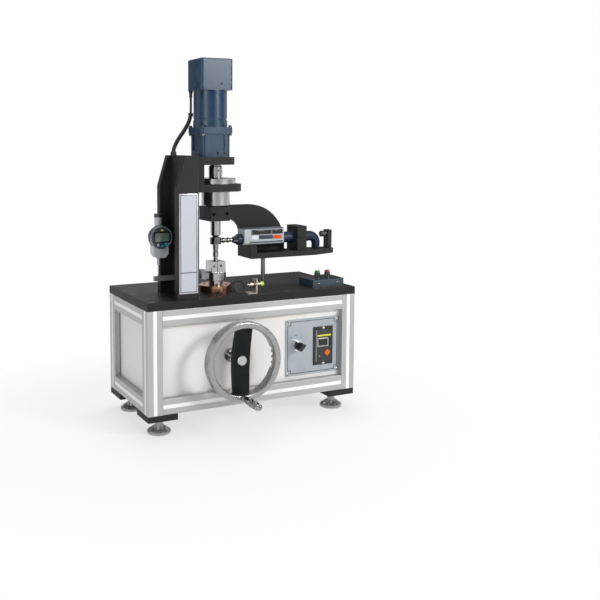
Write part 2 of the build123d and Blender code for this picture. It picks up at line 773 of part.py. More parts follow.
# Lift shaft: runs in the guide flange and ends in the lead screw
shaft_foot = -table_thick - 62
screw_foot = -wheel_drop - 22
with BuildPart() as lift_shaft:
    with BuildSketch(facing(spindle_x, axis_y, 0)):
        Polygon((0, screw_foot), (screw_radius - 1, screw_foot), (screw_radius, screw_foot + 1),
                (screw_radius, shaft_foot), (lift_shaft_radius, shaft_foot), (lift_shaft_radius, chuck_bottom),
                (0, chuck_bottom), align=None)
    revolve(axis=spindle_axis)
    with BuildSketch(facing(spindle_x, axis_y - lift_shaft_radius, guide_height + 5.5)):
        with Locations((11, 0)):
            Circle(2.5)
    extrude(amount=-14, mode=Mode.SUBTRACT)
save(lift_shaft.part, "lift_shaft")

with BuildPart() as guide_flange:
    with BuildSketch(facing(spindle_x, axis_y, 0)):
        Polygon((lift_shaft_radius + run_gap, 0), (guide_radius - 3, 0), (guide_radius - 3, 2.5),
                (guide_radius, 2.5), (guide_radius, guide_height - 1), (guide_radius - 1, guide_height),
                (lift_shaft_radius + run_gap, guide_height), align=None)
    revolve(axis=spindle_axis)
    with BuildSketch(flat(spindle_x, axis_y, guide_height)):
        with PolarLocations((guide_radius + lift_shaft_radius) / 2, 4, start_angle=45):
            Circle(4.5)
    extrude(amount=-5, mode=Mode.SUBTRACT)
save(guide_flange.part, "guide_flange")

# Measuring bar: clamped on the chuck, through the web's slot, under the indicator
clamp_x = spindle_x - (bar_clamp_left + bar_clamp_right) / 2
with BuildPart() as measuring_bar:
    with Locations((spindle_x - (bar_left + bar_clamp_right) / 2, axis_y, table_top + bar_z + bar_high / 2)):
        Box(bar_left - bar_clamp_right, bar_deep, bar_high)
    with Locations((clamp_x, axis_y, table_top + bar_z + bar_high / 2 - 0.5)):
        Box(bar_clamp_left - bar_clamp_right, 26, bar_high + 4)
    with Locations((spindle_x - bar_clamp_left + 7, axis_y, table_top + bar_z + bar_high + 5)):
        Box(14, 16, 9)
    with BuildSketch(flat(spindle_x, axis_y, chuck_bottom)):
        Circle(chuck_radius + fit_gap)
    extrude(amount=chuck_top - chuck_bottom, mode=Mode.SUBTRACT)
save(measuring_bar.part, "measuring_bar")

# Lift housing under the table: holds the gear's hub and the inner end of the wheel shaft
gear_top_z = -wheel_drop + bevel_large + gear_rim
hub_high = 16
housing_radius = 34
housing_foot = 46
bearing_deep = 16
bearing_y = axis_y - bevel_large - gear_rim - 2 - bearing_deep / 2
bearing_low = wheel_drop + 20
with BuildPart() as lift_housing:
    with BuildSketch(facing(spindle_x, axis_y, 0)):
        Polygon((0, -table_thick), (housing_foot, -table_thick), (housing_foot, -table_thick - 10),
                (housing_radius, -table_thick - 10), (housing_radius, gear_top_z), (0, gear_top_z), align=None)
    revolve(axis=spindle_axis)
    with Locations((spindle_x, bearing_y, table_top - (table_thick + bearing_low) / 2)):
        Box(44, bearing_deep, bearing_low - table_thick)
    with BuildSketch(facing(spindle_x, axis_y, 0)):
        Polygon((0, -table_thick), (lift_shaft_radius + 2, -table_thick),
                (lift_shaft_radius + 2, gear_top_z + hub_high), (hub_radius + run_gap, gear_top_z + hub_high),
                (hub_radius + run_gap, gear_top_z), (0, gear_top_z), align=None)
    revolve(axis=spindle_axis, mode=Mode.SUBTRACT)
    with Locations(Location((spindle_x, bearing_y, wheel_z), (90, 0, 0))):
        Cylinder(wheel_shaft_radius + run_gap, bearing_deep, mode=Mode.SUBTRACT)
save(lift_housing.part, "lift_housing")

# Lift gear: bevel gear and lead nut, turned by the pinion on the wheel shaft
with BuildPart() as lift_gear:
    with BuildSketch(facing(spindle_x, axis_y, 0)):
        Polygon((screw_radius + run_gap, gear_top_z + hub_high + 3), (hub_radius + 3, gear_top_z + hub_high + 3),
                (hub_radius + 3, gear_top_z + hub_high), (hub_radius, gear_top_z + hub_high),
                (hub_radius, gear_top_z), (bevel_large - bevel_gap, gear_top_z),
                (bevel_large - bevel_gap, bevel_large - wheel_drop),
                (bevel_small - bevel_gap, bevel_small - wheel_drop),
                (screw_radius + run_gap, bevel_small - wheel_drop), align=None)
    revolve(axis=spindle_axis)
save(lift_gear.part, "lift_gear")

# Bushing of the wheel shaft in the front panel
with BuildPart() as shaft_bushing:
    with BuildSketch(upright(panel_face)):
        with Locations((spindle_x, wheel_z)):
            Circle(bushing_radius + 4)
    extrude(amount=6)
    with BuildSketch(upright(panel_face)):
        with Locations((spindle_x, wheel_z)):
            Circle(bushing_radius - fit_gap)
    extrude(amount=-panel_thick - 8)
    with BuildSketch(upright(panel_face - 6)):
        with Locations((spindle_x, wheel_z)):
            Circle(wheel_shaft_radius + run_gap)
    extrude(amount=-panel_thick - 14, mode=Mode.SUBTRACT)
save(shaft_bushing.part, "shaft_bushing")

# Handwheel: ring with finger scallops, dished spoke, shaft with pinion and crank pin
ring_y = table_y + wheel_front
inner_radius = wheel_radius - wheel_rim
handle_angle = radians(-93.4)
handle_radius = 90
handle_x = spindle_x + handle_radius * cos(handle_angle)
handle_z = wheel_z + handle_radius * sin(handle_angle)
pin_radius = 4.5
scallop_radius = 6
scallop_step = radians(9.5)
wheel_axis = Axis((spindle_x, 0, wheel_z), (0, 1, 0))
with BuildPart() as wheel_ring:
    with BuildSketch(Plane(origin=(spindle_x, ring_y, wheel_z), x_dir=(1, 0, 0), z_dir=(0, 0, 1))):
        with Locations(((inner_radius + wheel_radius) / 2, wheel_depth / 2)):
            RectangleRounded(wheel_rim, wheel_depth, 4)
    revolve(axis=wheel_axis)
    with BuildSketch(facing(spindle_x, ring_y + wheel_depth / 2, -wheel_drop)):
        for side in (-1, 1):
            for step in (-1.5, -0.5, 0.5, 1.5):
                turn = step * scallop_step
                with Locations((side * inner_radius * cos(turn), inner_radius * sin(turn))):
                    Circle(scallop_radius)
    extrude(amount=-wheel_depth, mode=Mode.SUBTRACT)
    with BuildSketch(upright(ring_y)):
        with Locations((handle_x, handle_z)):
            Circle(pin_radius + fit_gap)
    extrude(amount=-wheel_depth, mode=Mode.SUBTRACT)
save(wheel_ring.part, "wheel_ring")

spoke_width = 45
spoke_tilt = 3
hub_dish = 21
rim_dish = 13
with BuildPart() as wheel_spoke:
    with BuildSketch(Plane(origin=(spindle_x - spoke_width / 2, ring_y, wheel_z), x_dir=(0, 1, 0), z_dir=(1, 0, 0))):
        Polygon((rim_dish, -wheel_radius), (hub_dish, -24), (hub_dish, 24), (rim_dish, wheel_radius),
                (rim_dish + 6, wheel_radius), (hub_dish + 15, 26), (hub_dish + 17, 0), (hub_dish + 15, -26),
                (rim_dish + 6, -wheel_radius), align=None)
    extrude(amount=spoke_width)
    with BuildSketch(upright(ring_y)):
        with Locations((spindle_x, wheel_z)):
            Circle(inner_radius - fit_gap)
            Circle(wheel_shaft_radius + fit_gap, mode=Mode.SUBTRACT)
    extrude(amount=-2 * wheel_depth, mode=Mode.INTERSECT)
save(wheel_spoke.part.rotate(wheel_axis, spoke_tilt), "wheel_spoke")

pinion_y = axis_y - bevel_small
hub_face = ring_y + hub_dish
with BuildPart() as wheel_shaft:
    with BuildSketch(upright(hub_face)):
        with Locations((spindle_x, wheel_z)):
            Circle(wheel_shaft_radius)
    extrude(amount=hub_face - pinion_y)
    with BuildSketch(upright(hub_face)):
        with Locations((spindle_x, wheel_z)):
            Circle(13)
    extrude(amount=4)
    chamfer(wheel_shaft.faces().sort_by(Axis.Y)[0].edges(), length=1.5)
    with BuildSketch(Plane(origin=(spindle_x, axis_y, wheel_z), x_dir=(0, 1, 0), z_dir=(1, 0, 0))):
        Polygon((-bevel_small, 0), (-bevel_small, bevel_small - bevel_gap),
                (-bevel_large, bevel_large - bevel_gap), (-bevel_large - gear_rim, bevel_large - bevel_gap),
                (-bevel_large - gear_rim, 0), align=None)
    revolve(axis=wheel_axis)
    with BuildSketch(upright(ring_y + wheel_depth)):
        with Locations((handle_x, handle_z)):
            Circle(pin_radius)
    extrude(amount=wheel_depth + grip_length - 6)
save(wheel_shaft.part, "wheel_shaft")

# Crank handle: a barrel grip that turns on the crank pin
with BuildPart() as crank_handle:
    with BuildSketch(Plane(origin=(handle_x, ring_y, handle_z), x_dir=(0, -1, 0), z_dir=(1, 0, 0))):
        with BuildLine():
            Polyline((0.5, 7.5), (8, 7.5), (10, 6.3), (14, 6.3), (20, 8))
            Spline((20, 8), (45, 9.3), (70, 9), (84, 8))
            Polyline((84, 8), (87, 6.5), (89.2, 4), (grip_length, 1.5), (grip_length, 0), (0.5, 0), (0.5, 7.5))
        make_face()
    revolve(axis=Axis((handle_x, 0, handle_z), (0, 1, 0)))
    with BuildSketch(upright(ring_y)):
        with Locations((handle_x, handle_z)):
            Circle(pin_radius + run_gap)
    extrude(amount=grip_length - 5, mode=Mode.SUBTRACT)
save(crank_handle.part, "crank_handle")

# Dial indicator: round case, foot, stem and cap, held by a bracket on the rear plate
stem_x = spindle_x - dial_x
dial_face = axis_y - dial_front
key_places = [(-9.2, -18.5), (2, -21.2), (12.2, -18.8)]
with BuildPart() as indicator_case:
    with BuildSketch(facing(stem_x, dial_face, dial_z)):
        Circle(dial_radius)
    extrude(amount=-dial_depth)
    chamfer(indicator_case.edges().filter_by(GeomType.CIRCLE), length=1.5)
    with BuildSketch(facing(stem_x, dial_face + dial_depth, dial_z)):
        Circle(dial_radius - 5)
    extrude(amount=-dial_back)
    with BuildSketch(facing(stem_x, dial_face + 3, 0)):
        Polygon((-20, dial_z - 15), (-20, dial_foot + 10), (-12, dial_foot), (12, dial_foot),
                (20, dial_foot + 10), (20, dial_z - 15), align=None)
    extrude(amount=-(dial_depth + 4))
    with BuildSketch(flat(stem_x, axis_y, stem_low)):
        Circle(stem_radius)
    extrude(amount=dial_foot - stem_low)
    with BuildSketch(flat(stem_x, axis_y, dial_z + 20)):
        Circle(9.5)
    extrude(amount=30)
    with BuildSketch(flat(stem_x, axis_y, dial_z + 50)):
        Circle(10.2)
    extrude(amount=9)
    with BuildSketch(facing(stem_x, dial_face, dial_z)):
        with Locations(*key_places):
            Circle(key_radius + free_gap)
    extrude(amount=-4, mode=Mode.SUBTRACT)
    with BuildSketch(flat(stem_x, axis_y, stem_low)):
        Circle(plunger_radius + run_gap)
    extrude(amount=dial_foot - stem_low + lift_up + 4, mode=Mode.SUBTRACT)
save(indicator_case.part, "indicator_case")

for number, (x, z) in enumerate(key_places, start=1):
    with BuildPart() as indicator_key:
        with BuildSketch(facing(stem_x + x, dial_face + 3.8 - key_throw, dial_z + z)):
            Circle(key_radius)
        extrude(amount=4.5)
        chamfer(indicator_key.faces().sort_by(Axis.Y)[0].edges(), length=0.5)
    save(indicator_key.part, f"indicator_key_{number}")

plunger_foot = bar_z + bar_high + fit_gap
with BuildPart() as indicator_plunger:
    with BuildSketch(flat(stem_x, axis_y, plunger_foot + ball_radius)):
        Circle(plunger_radius)
    extrude(amount=dial_foot - plunger_foot - ball_radius)
    with Locations((stem_x, axis_y, table_top + plunger_foot + ball_radius)):
        Sphere(ball_radius)
save(indicator_plunger.part, "indicator_plunger")

case_rear = dial_face + dial_depth + dial_back
holder_left = stem_x - 12
holder_right = web_x - 1
with BuildPart() as indicator_bracket:
    with Locations(((holder_left + holder_right) / 2, (case_rear + rear_plate_y) / 2, table_top + dial_z)):
        Box(holder_right - holder_left, rear_plate_y - case_rear, 22)
    chamfer(indicator_bracket.edges().filter_by(Axis.Y), length=2)
save(indicator_bracket.part, "indicator_bracket")

# Button box: hollow case, two collars, two sprung buttons
box_middle = table_front + box_front_inset
button_places = [(box_x + button_shift + side * button_pitch / 2, box_middle + button_back) for side in (-1, 1)]
with BuildPart() as button_box:
    with Locations((box_x, box_middle, table_top + box_high / 2)):
        Box(box_wide, box_deep, box_high)
    chamfer(button_box.edges().group_by(Axis.Z)[-1], length=1.5)
    with Locations((box_x, box_middle, table_top + (box_high - box_lid + box_wall) / 2)):
        Box(box_wide - 2 * box_wall, box_deep - 2 * box_wall, box_high - box_lid - box_wall, mode=Mode.SUBTRACT)
    for x, y in button_places:
        with BuildSketch(facing(x, y, box_high)):
            Polygon((0, 0), (collar_low, 0), (collar_top, collar_high - 1), (collar_top - 0.4, collar_high),
                    (0, collar_high), align=None)
        revolve(axis=Axis((x, y, 0), (0, 0, 1)))
        with BuildSketch(facing(x, y, box_high)):
            Polygon((0, -box_lid), (cap_radius - 1, -box_lid), (cap_radius - 1, 2), (cap_radius + free_gap, 2),
                    (cap_radius + free_gap, collar_high), (0, collar_high), align=None)
        revolve(axis=Axis((x, y, 0), (0, 0, 1)), mode=Mode.SUBTRACT)
save(button_box.part, "button_box")

cap_low = 2 + cap_throw + free_gap
for name, (x, y) in zip(("start_button", "stop_button"), button_places):
    with BuildPart() as button:
        with BuildSketch(flat(x, y, box_high + cap_low)):
            Circle(cap_radius)
        extrude(amount=collar_high + cap_high - cap_low)
        fillet(button.faces().sort_by(Axis.Z)[-1].edges(), radius=1.5)
        with BuildSketch(flat(x, y, box_high - 1)):
            Circle(cap_radius - 1 - free_gap)
        extrude(amount=cap_low + 1)
    save(button.part, name)

# Control plate with the selector's collar, and the speed controller
control_high = post_length - 2 * profile - control_low_gap - control_top_gap
control_x = post_x - profile / 2 - control_wide / 2
control_z = frame_low + profile + control_low_gap + control_high / 2
selector_x = control_x - selector_left
selector_drop = table_top - control_z - selector_rise
controller_x = control_x + controller_right
controller_drop = table_top - control_z + controller_sink
plate_face = panel_face - control_thick
with BuildPart() as control_plate:
    with Locations((control_x, panel_face - control_thick / 2, control_z)):
        Box(control_wide, control_thick, control_high)
    fillet(control_plate.edges().filter_by(Axis.Y), radius=4)
save(control_plate.part, "control_plate")

with BuildPart() as selector_bezel:
    with BuildSketch(facing(selector_x, plate_face, -selector_drop)):
        Circle(selector_radius)
    extrude(amount=selector_collar, taper=4)
    with BuildSketch(facing(selector_x, plate_face - selector_collar, -selector_drop)):
        Circle(selector_bore)
    extrude(amount=-selector_collar + 4, mode=Mode.SUBTRACT)
save(selector_bezel.part, "selector_bezel")

with BuildPart() as selector_knob:
    with BuildSketch(facing(selector_x, plate_face - 4.5, -selector_drop)):
        Circle(selector_bore - free_gap)
    extrude(amount=selector_collar + 4)
    with BuildSketch(facing(selector_x, plate_face - 4.5, -selector_drop)):
        with Locations(Location((0, 0), 45)):
            SlotOverall(2 * selector_bore - 1, 9)
    extrude(amount=32.5)
save(selector_knob.part, "selector_knob")

key_x = controller_x + 12
key_drop = controller_drop + 20
controller_face = plate_face - controller_thick
with BuildPart() as speed_controller:
    with Locations((controller_x, plate_face - controller_thick / 2, table_top - controller_drop)):
        Box(controller_wide, controller_thick, controller_high)
    chamfer(speed_controller.faces().sort_by(Axis.Y)[0].edges(), length=1)
    with BuildSketch(facing(key_x, controller_face, -key_drop)):
        with Locations(Location((0, 0), 45)):
            Rectangle(speed_key_side + 2 * free_gap, speed_key_side + 2 * free_gap)
    extrude(amount=-3, mode=Mode.SUBTRACT)
save(speed_controller.part, "speed_controller")

with BuildPart() as speed_key:
    with BuildSketch(facing(key_x, controller_face + 2.8 - key_throw, -key_drop)):
        with Locations(Location((0, 0), 45)):
            RectangleRounded(speed_key_side, speed_key_side, 1.5)
    extrude(amount=3.2)
save(speed_key.part, "speed_key")

# Sensor on its angle bracket
sensor_at = table_front + sensor_inset
sensor_level = table_top + sensor_z
with BuildPart() as sensor_bracket:
    with Locations((sensor_x + sensor_plate - 13, sensor_at, table_top + sensor_plate / 2)):
        Box(26, sensor_wide, sensor_plate)
    with Locations((sensor_x + sensor_plate / 2, sensor_at, table_top + 19)):
        Box(sensor_plate, sensor_wide, 38)
    with Locations(Location((sensor_x, sensor_at, sensor_level), (0, 90, 0))):
        Cylinder(sensor_radius + fit_gap, 3 * sensor_plate, mode=Mode.SUBTRACT)
    with Locations((sensor_x - 11, sensor_at, table_top + sensor_plate)):
        Hole(2.6, sensor_plate)
save(sensor_bracket.part, "sensor_bracket")

sensor_tail = sensor_x - 21
with BuildPart() as sensor:
    for start, length, radius in ((sensor_tail, 6, 4), (sensor_tail + 6, 40, sensor_radius)):
        with BuildSketch(Plane.YZ.offset(start)):
            with Locations((sensor_at, sensor_level)):
                Circle(radius)
        extrude(amount=length)
    for start in (sensor_x - 4, sensor_x + sensor_plate):
        with BuildSketch(Plane.YZ.offset(start)):
            with Locations((sensor_at, sensor_level)):
                RegularPolygon(8.5, 6, major_radius=False)
        extrude(amount=4)
save(sensor.part, "sensor")


def corner_radii(points):
    """The largest arc at each corner of a cable's route: 0.45 of the shorter run over tan(half turn)."""
    radii = []
    for before, corner, after in zip(points, points[1:], points[2:]):
        first = Vector(*corner) - Vector(*before)
        second = Vector(*after) - Vector(*corner)
        half_turn = radians(first.get_angle(second)) / 2
        radii.append(0.45 * min(first.length, second.length) / tan(half_turn))
    return radii


def cable(points, radius, name):
    """A round cable along straight runs joined by tangent arcs."""
    radii = corner_radii(points)
    with BuildPart() as tube:
        with BuildLine() as route:
            FilletPolyline(*points, radius=radii)
        start = Vector(*points[0])
        with BuildSketch(Plane(origin=start, z_dir=Vector(*points[1]) - start)):
            Circle(radius)
        sweep(path=route.line)
    length = sum(edge.length for edge in route.edges())
    ratio = tube.part.volume / (3.14159 * radius ** 2 * length)
    print(name, "radii", [round(r, 1) for r in radii], "length", round(length, 1), "volume", round(ratio, 4))
    return tube.part


# Sensor cable: out of the sensor, once round a loop, down through the table
loop_x = sensor_tail - 21
sensor_route = [
    (sensor_tail, sensor_at, sensor_level),
    (sensor_tail - 9, sensor_at, sensor_level),
    (loop_x + 5, sensor_at + 1, table_top + 37),
    (loop_x - 9, sensor_at + 1.5, table_top + 38),
    (loop_x - 18, sensor_at + 2, table_top + 27),
    (loop_x - 18, sensor_at + 2.5, table_top + 14),
    (loop_x - 9, sensor_at + 3.5, table_top + 4),
    (loop_x + 5, sensor_at + 4.5, table_top + 3),
    (loop_x + 15, sensor_at + 6, table_top + 12),
    (loop_x + 14, sensor_at + 8, table_top + 26),
    (loop_x + 4, sensor_at + 10, table_top + 34),
    (loop_x - 10, sensor_at + 13, table_top + 31),
    (loop_x - 20, sensor_at + 20, table_top + 22),
    (cable_hole[0], cable_hole[1], table_top + 12),
    (cable_hole[0], cable_hole[1], table_top - 1),
]
save(cable(sensor_route, cable_radius, "sensor cable"), "sensor_cable")

# Motor cable: a lead below the cover, then a conduit to the head of the rear plate
lead_x = motor_x - 37
lead_y = axis_y + 41
lead_top = table_top + cover_bottom
lead_route = [
    (lead_x, lead_y, lead_top),
    (lead_x, lead_y, lead_top - 20),
    (lead_x + 0.5, lead_y + 0.6, lead_top - 40),
    (lead_x, lead_y + 1, lead_top - 60),
]
conduit_route = [
    (lead_x, lead_y + 1, lead_top - 60),
    (lead_x - 2, lead_y + 3, lead_top - 74),
    (lead_x - 9, lead_y + 5, lead_top - 90),
    (lead_x - 20, lead_y + 4, lead_top - 106),
    (lead_x - 35, lead_y, lead_top - 123),
    (lead_x - 47, lead_y - 3, lead_top - 142),
    (lead_x - 51, lead_y - 4, table_top + column_height + 14),
    (lead_x - 51, lead_y - 4, table_top + column_height),
]
with BuildPart() as motor_cable:
    add(cable(lead_route, lead_radius, "motor lead"))
    add(cable(conduit_route, conduit_radius, "motor conduit"))
save(motor_cable.part, "motor_cable")
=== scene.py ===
import math

import bmesh
import bpy
from mathutils import Matrix, Vector


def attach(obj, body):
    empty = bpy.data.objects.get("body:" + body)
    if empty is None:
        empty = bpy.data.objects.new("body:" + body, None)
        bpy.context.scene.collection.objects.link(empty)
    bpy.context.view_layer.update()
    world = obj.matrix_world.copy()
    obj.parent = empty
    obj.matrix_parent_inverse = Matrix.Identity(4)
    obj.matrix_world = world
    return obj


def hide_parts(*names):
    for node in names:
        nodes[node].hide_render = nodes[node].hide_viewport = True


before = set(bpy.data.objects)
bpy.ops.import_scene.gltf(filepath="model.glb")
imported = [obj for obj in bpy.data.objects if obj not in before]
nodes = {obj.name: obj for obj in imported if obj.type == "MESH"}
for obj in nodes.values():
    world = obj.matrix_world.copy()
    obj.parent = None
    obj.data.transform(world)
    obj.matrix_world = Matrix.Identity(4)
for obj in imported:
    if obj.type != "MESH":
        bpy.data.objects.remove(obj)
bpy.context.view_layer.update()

# Camera: a long lens a little above the table, turned to the operator's left of the tester.
# The shift only keeps the photograph's framing, with the machine left of the picture's middle.
camera = bpy.data.objects.new("camera", bpy.data.cameras.new("camera"))
camera.location = (-0.9876, -1.9605, 0.7250)
camera.rotation_euler = (math.radians(90 - 5.289), 0, math.radians(-25.346))
camera.data.sensor_width = 36
camera.data.lens = 50.37
camera.data.shift_x = 0.125
camera.data.shift_y = -0.13
bpy.context.scene.collection.objects.link(camera)
bpy.context.scene.camera = camera
bpy.context.scene.view_settings.view_transform = "Standard"


# Rubber jackets: extruded black rubber and vinyl with a dull, slightly dusty skin.
# The grain group carries a fine noise for the bump and a slow one for tone and polish.
def node_group(name, inputs, outputs):
    group = bpy.data.node_groups.new(name, "ShaderNodeTree")
    for label, kind, value in inputs:
        socket = group.interface.new_socket(label, in_out="INPUT", socket_type=kind)
        if value is not None:
            socket.default_value = value
    for label, kind in outputs:
        group.interface.new_socket(label, in_out="OUTPUT", socket_type=kind)
    return group, group.nodes.new("NodeGroupInput"), group.nodes.new("NodeGroupOutput")


def noise(tree, vector, scale, detail=3.0, rough=0.55):
    node = tree.nodes.new("ShaderNodeTexNoise")
    node.inputs["Detail"].default_value = detail
    node.inputs["Roughness"].default_value = rough
    tree.links.new(vector, node.inputs["Vector"])
    if isinstance(scale, (int, float)):
        node.inputs["Scale"].default_value = scale
    else:
        tree.links.new(scale, node.inputs["Scale"])
    return node.outputs["Fac"]


def spread(tree, value, low, high, to_low=0.0, to_high=1.0):
    node = tree.nodes.new("ShaderNodeMapRange")
    for label, number in (("From Min", low), ("From Max", high), ("To Min", to_low), ("To Max", to_high)):
        node.inputs[label].default_value = number
    tree.links.new(value, node.inputs["Value"])
    return node.outputs["Result"]


grain, entry, exit_ = node_group(
    "surface_grain",
    [("Vector", "NodeSocketVector", None), ("Fine", "NodeSocketFloat", 900.0),
     ("Slow", "NodeSocketFloat", 14.0)],
    [("Height", "NodeSocketFloat"), ("Tone", "NodeSocketFloat")])
pores = noise(grain, entry.outputs["Vector"], entry.outputs["Fine"], 4.0, 0.6)
grain.links.new(pores, exit_.inputs["Height"])
slow = noise(grain, entry.outputs["Vector"], entry.outputs["Slow"], 5.0, 0.6)
grain.links.new(spread(grain, slow, 0.34, 0.66), exit_.inputs["Tone"])

wear, entry, exit_ = node_group(
    "edge_wear",
    [("Radius", "NodeSocketFloat", 0.0012), ("Vector", "NodeSocketVector", None)],
    [("Mask", "NodeSocketFloat")])
bevel = wear.nodes.new("ShaderNodeBevel")
bevel.samples = 4
wear.links.new(entry.outputs["Radius"], bevel.inputs["Radius"])
facing = wear.nodes.new("ShaderNodeNewGeometry")
dot = wear.nodes.new("ShaderNodeVectorMath")
dot.operation = "DOT_PRODUCT"
wear.links.new(bevel.outputs["Normal"], dot.inputs[0])
wear.links.new(facing.outputs["Normal"], dot.inputs[1])
edge = spread(wear, dot.outputs["Value"], 0.995, 0.86)
broken = spread(wear, noise(wear, entry.outputs["Vector"], 160.0, 4.0, 0.7), 0.36, 0.62, 0.25, 1.0)
product = wear.nodes.new("ShaderNodeMath")
product.operation = "MULTIPLY"
wear.links.new(edge, product.inputs[0])
wear.links.new(broken, product.inputs[1])
wear.links.new(product.outputs["Value"], exit_.inputs["Mask"])


def mix(tree, factor, low, high, kind="RGBA"):
    node = tree.nodes.new("ShaderNodeMix")
    node.data_type = kind
    ends = (6, 7) if kind == "RGBA" else (2, 3)
    tree.links.new(factor, node.inputs[0])
    for place, value in zip(ends, (low, high)):
        if isinstance(value, bpy.types.NodeSocket):
            tree.links.new(value, node.inputs[place])
        elif kind == "RGBA":
            node.inputs[place].default_value = (*value, 1.0)
        else:
            node.inputs[place].default_value = value
    return node.outputs[2 if kind == "RGBA" else 0]


def placed(tree, group, **values):
    node = tree.nodes.new("ShaderNodeGroup")
    node.node_tree = group
    for label, value in values.items():
        if isinstance(value, bpy.types.NodeSocket):
            tree.links.new(value, node.inputs[label])
        else:
            node.inputs[label].default_value = value
    return node.outputs


class Finish:
    """A material with its Principled shader, its Object coordinates and one bump node."""

    def __init__(self, name, metal=0.0, coat=0.0, bump=0.0002, strength=0.3, shine=0.5):
        self.material = bpy.data.materials.new(name)
        self.material.use_nodes = True
        self.tree = self.material.node_tree
        self.shader = self.tree.nodes["Principled BSDF"]
        self.shader.inputs["Metallic"].default_value = metal
        self.shader.inputs["Coat Weight"].default_value = coat
        self.shader.inputs["Coat Roughness"].default_value = 0.12
        self.shader.inputs["Specular IOR Level"].default_value = shine
        self.coords = self.tree.nodes.new("ShaderNodeTexCoord").outputs["Object"]
        self.bump = self.tree.nodes.new("ShaderNodeBump")
        self.bump.inputs["Distance"].default_value = bump
        self.bump.inputs["Strength"].default_value = strength
        self.tree.links.new(self.bump.outputs["Normal"], self.shader.inputs["Normal"])

    def set(self, label, value):
        if label == "Height":
            self.tree.links.new(value, self.bump.inputs["Height"])
        else:
            self.tree.links.new(value, self.shader.inputs[label])


def grained(name, colour, tone, rough, rough_worn, fine=900.0, slow=14.0, worn=None, **settings):
    """A finish whose colour drifts between two tones, with fine grain and, if wanted, worn edges."""
    finish = Finish(name, **settings)
    skin = placed(finish.tree, grain, Vector=finish.coords, Fine=fine, Slow=slow)
    shade = mix(finish.tree, skin["Tone"], colour, tone)
    polish = mix(finish.tree, skin["Tone"], rough, rough_worn, "FLOAT")
    if worn:
        mask = placed(finish.tree, wear, Vector=finish.coords, Radius=0.0012)["Mask"]
        shade = mix(finish.tree, mask, shade, worn)
    finish.set("Base Color", shade)
    finish.set("Roughness", polish)
    finish.set("Height", skin["Height"])
    return finish


def dress(finish, *names):
    for name in names:
        data = nodes[name].data
        data.materials.clear()
        data.materials.append(finish.material)


cable_rubber = grained("cable_rubber", (0.012, 0.012, 0.013), (0.022, 0.022, 0.023), 0.42, 0.6, fine=1400,
                       slow=60)


# Motor lead: a round black lead that hangs from the terminal cover and goes into a ribbed conduit.
# The conduit is corrugated vinyl, pushed into a gland on the head of the column's rear plate.
def metres(points):
    return [Vector(p) / 1000 for p in points]


def route(name, points, radius):
    """A smooth NURBS line through the route's points, with the lead's own thickness."""
    curve = bpy.data.curves.new(name, "CURVE")
    curve.dimensions = "3D"
    spline = curve.splines.new("NURBS")
    spline.points.add(len(points) - 1)
    for point, place in zip(spline.points, points):
        point.co = (*place, 1.0)
    spline.order_u = 3
    spline.use_endpoint_u = True
    curve.resolution_u = 16
    curve.bevel_depth = radius
    curve.bevel_resolution = 6
    curve.use_fill_caps = True
    piece = bpy.data.objects.new(name, curve)
    bpy.context.scene.collection.objects.link(piece)
    return piece


def middle(item):
    """The middle of a point, edge or face in micrometres, as a key that puts them in one order."""
    corners = [item] if isinstance(item, bmesh.types.BMVert) else list(item.verts)
    return [math.floor(sum(v.co[axis] for v in corners) / len(corners) * 1e6 + 0.3) for axis in range(3)]


def piece_from(bm, name, finishes, body, sharp=35.0):
    """Turns a bmesh into a finished piece that rides on a body."""
    for e in bm.edges:
        e.smooth = e.calc_face_angle(0.0) < math.radians(sharp)
    for f in bm.faces:
        f.smooth = True
    for items in (bm.verts, bm.edges, bm.faces):
        rank = {item: place for place, item in enumerate(sorted(items, key=middle))}
        items.sort(key=rank.get)
    data = bpy.data.meshes.new(name)
    bm.to_mesh(data)
    bm.free()
    for finish in finishes if isinstance(finishes, (list, tuple)) else [finishes]:
        data.materials.append(finish.material)
    piece = bpy.data.objects.new(name, data)
    bpy.context.scene.collection.objects.link(piece)
    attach(piece, body)
    return piece


def spun(bm, profile, place, axis=(0, 0, 1), steps=40, paint=0):
    """Adds a turned shape: the profile's points are radius and height, in millimetres."""
    verts = [bm.verts.new((r / 1000, 0, h / 1000)) for r, h in profile]
    edges = [bm.edges.new(pair) for pair in zip(verts, verts[1:])]
    old = set(bm.faces)
    bmesh.ops.spin(bm, geom=verts + edges, cent=(0, 0, 0), axis=(0, 0, 1), angle=2 * math.pi, steps=steps,
                   use_merge=True)
    faces = [f for f in bm.faces if f not in old]
    found = list({v for f in faces for v in f.verts})
    bmesh.ops.remove_doubles(bm, verts=found, dist=1e-6)
    faces = [f for f in bm.faces if f not in old]
    bmesh.ops.recalc_face_normals(bm, faces=faces)
    found = list({v for f in faces for v in f.verts})
    turn = Vector((0, 0, 1)).rotation_difference(Vector(axis)).to_matrix().to_4x4()
    bmesh.ops.transform(bm, matrix=Matrix.Translation(Vector(place) / 1000) @ turn, verts=found)
    for f in faces:
        f.material_index = paint


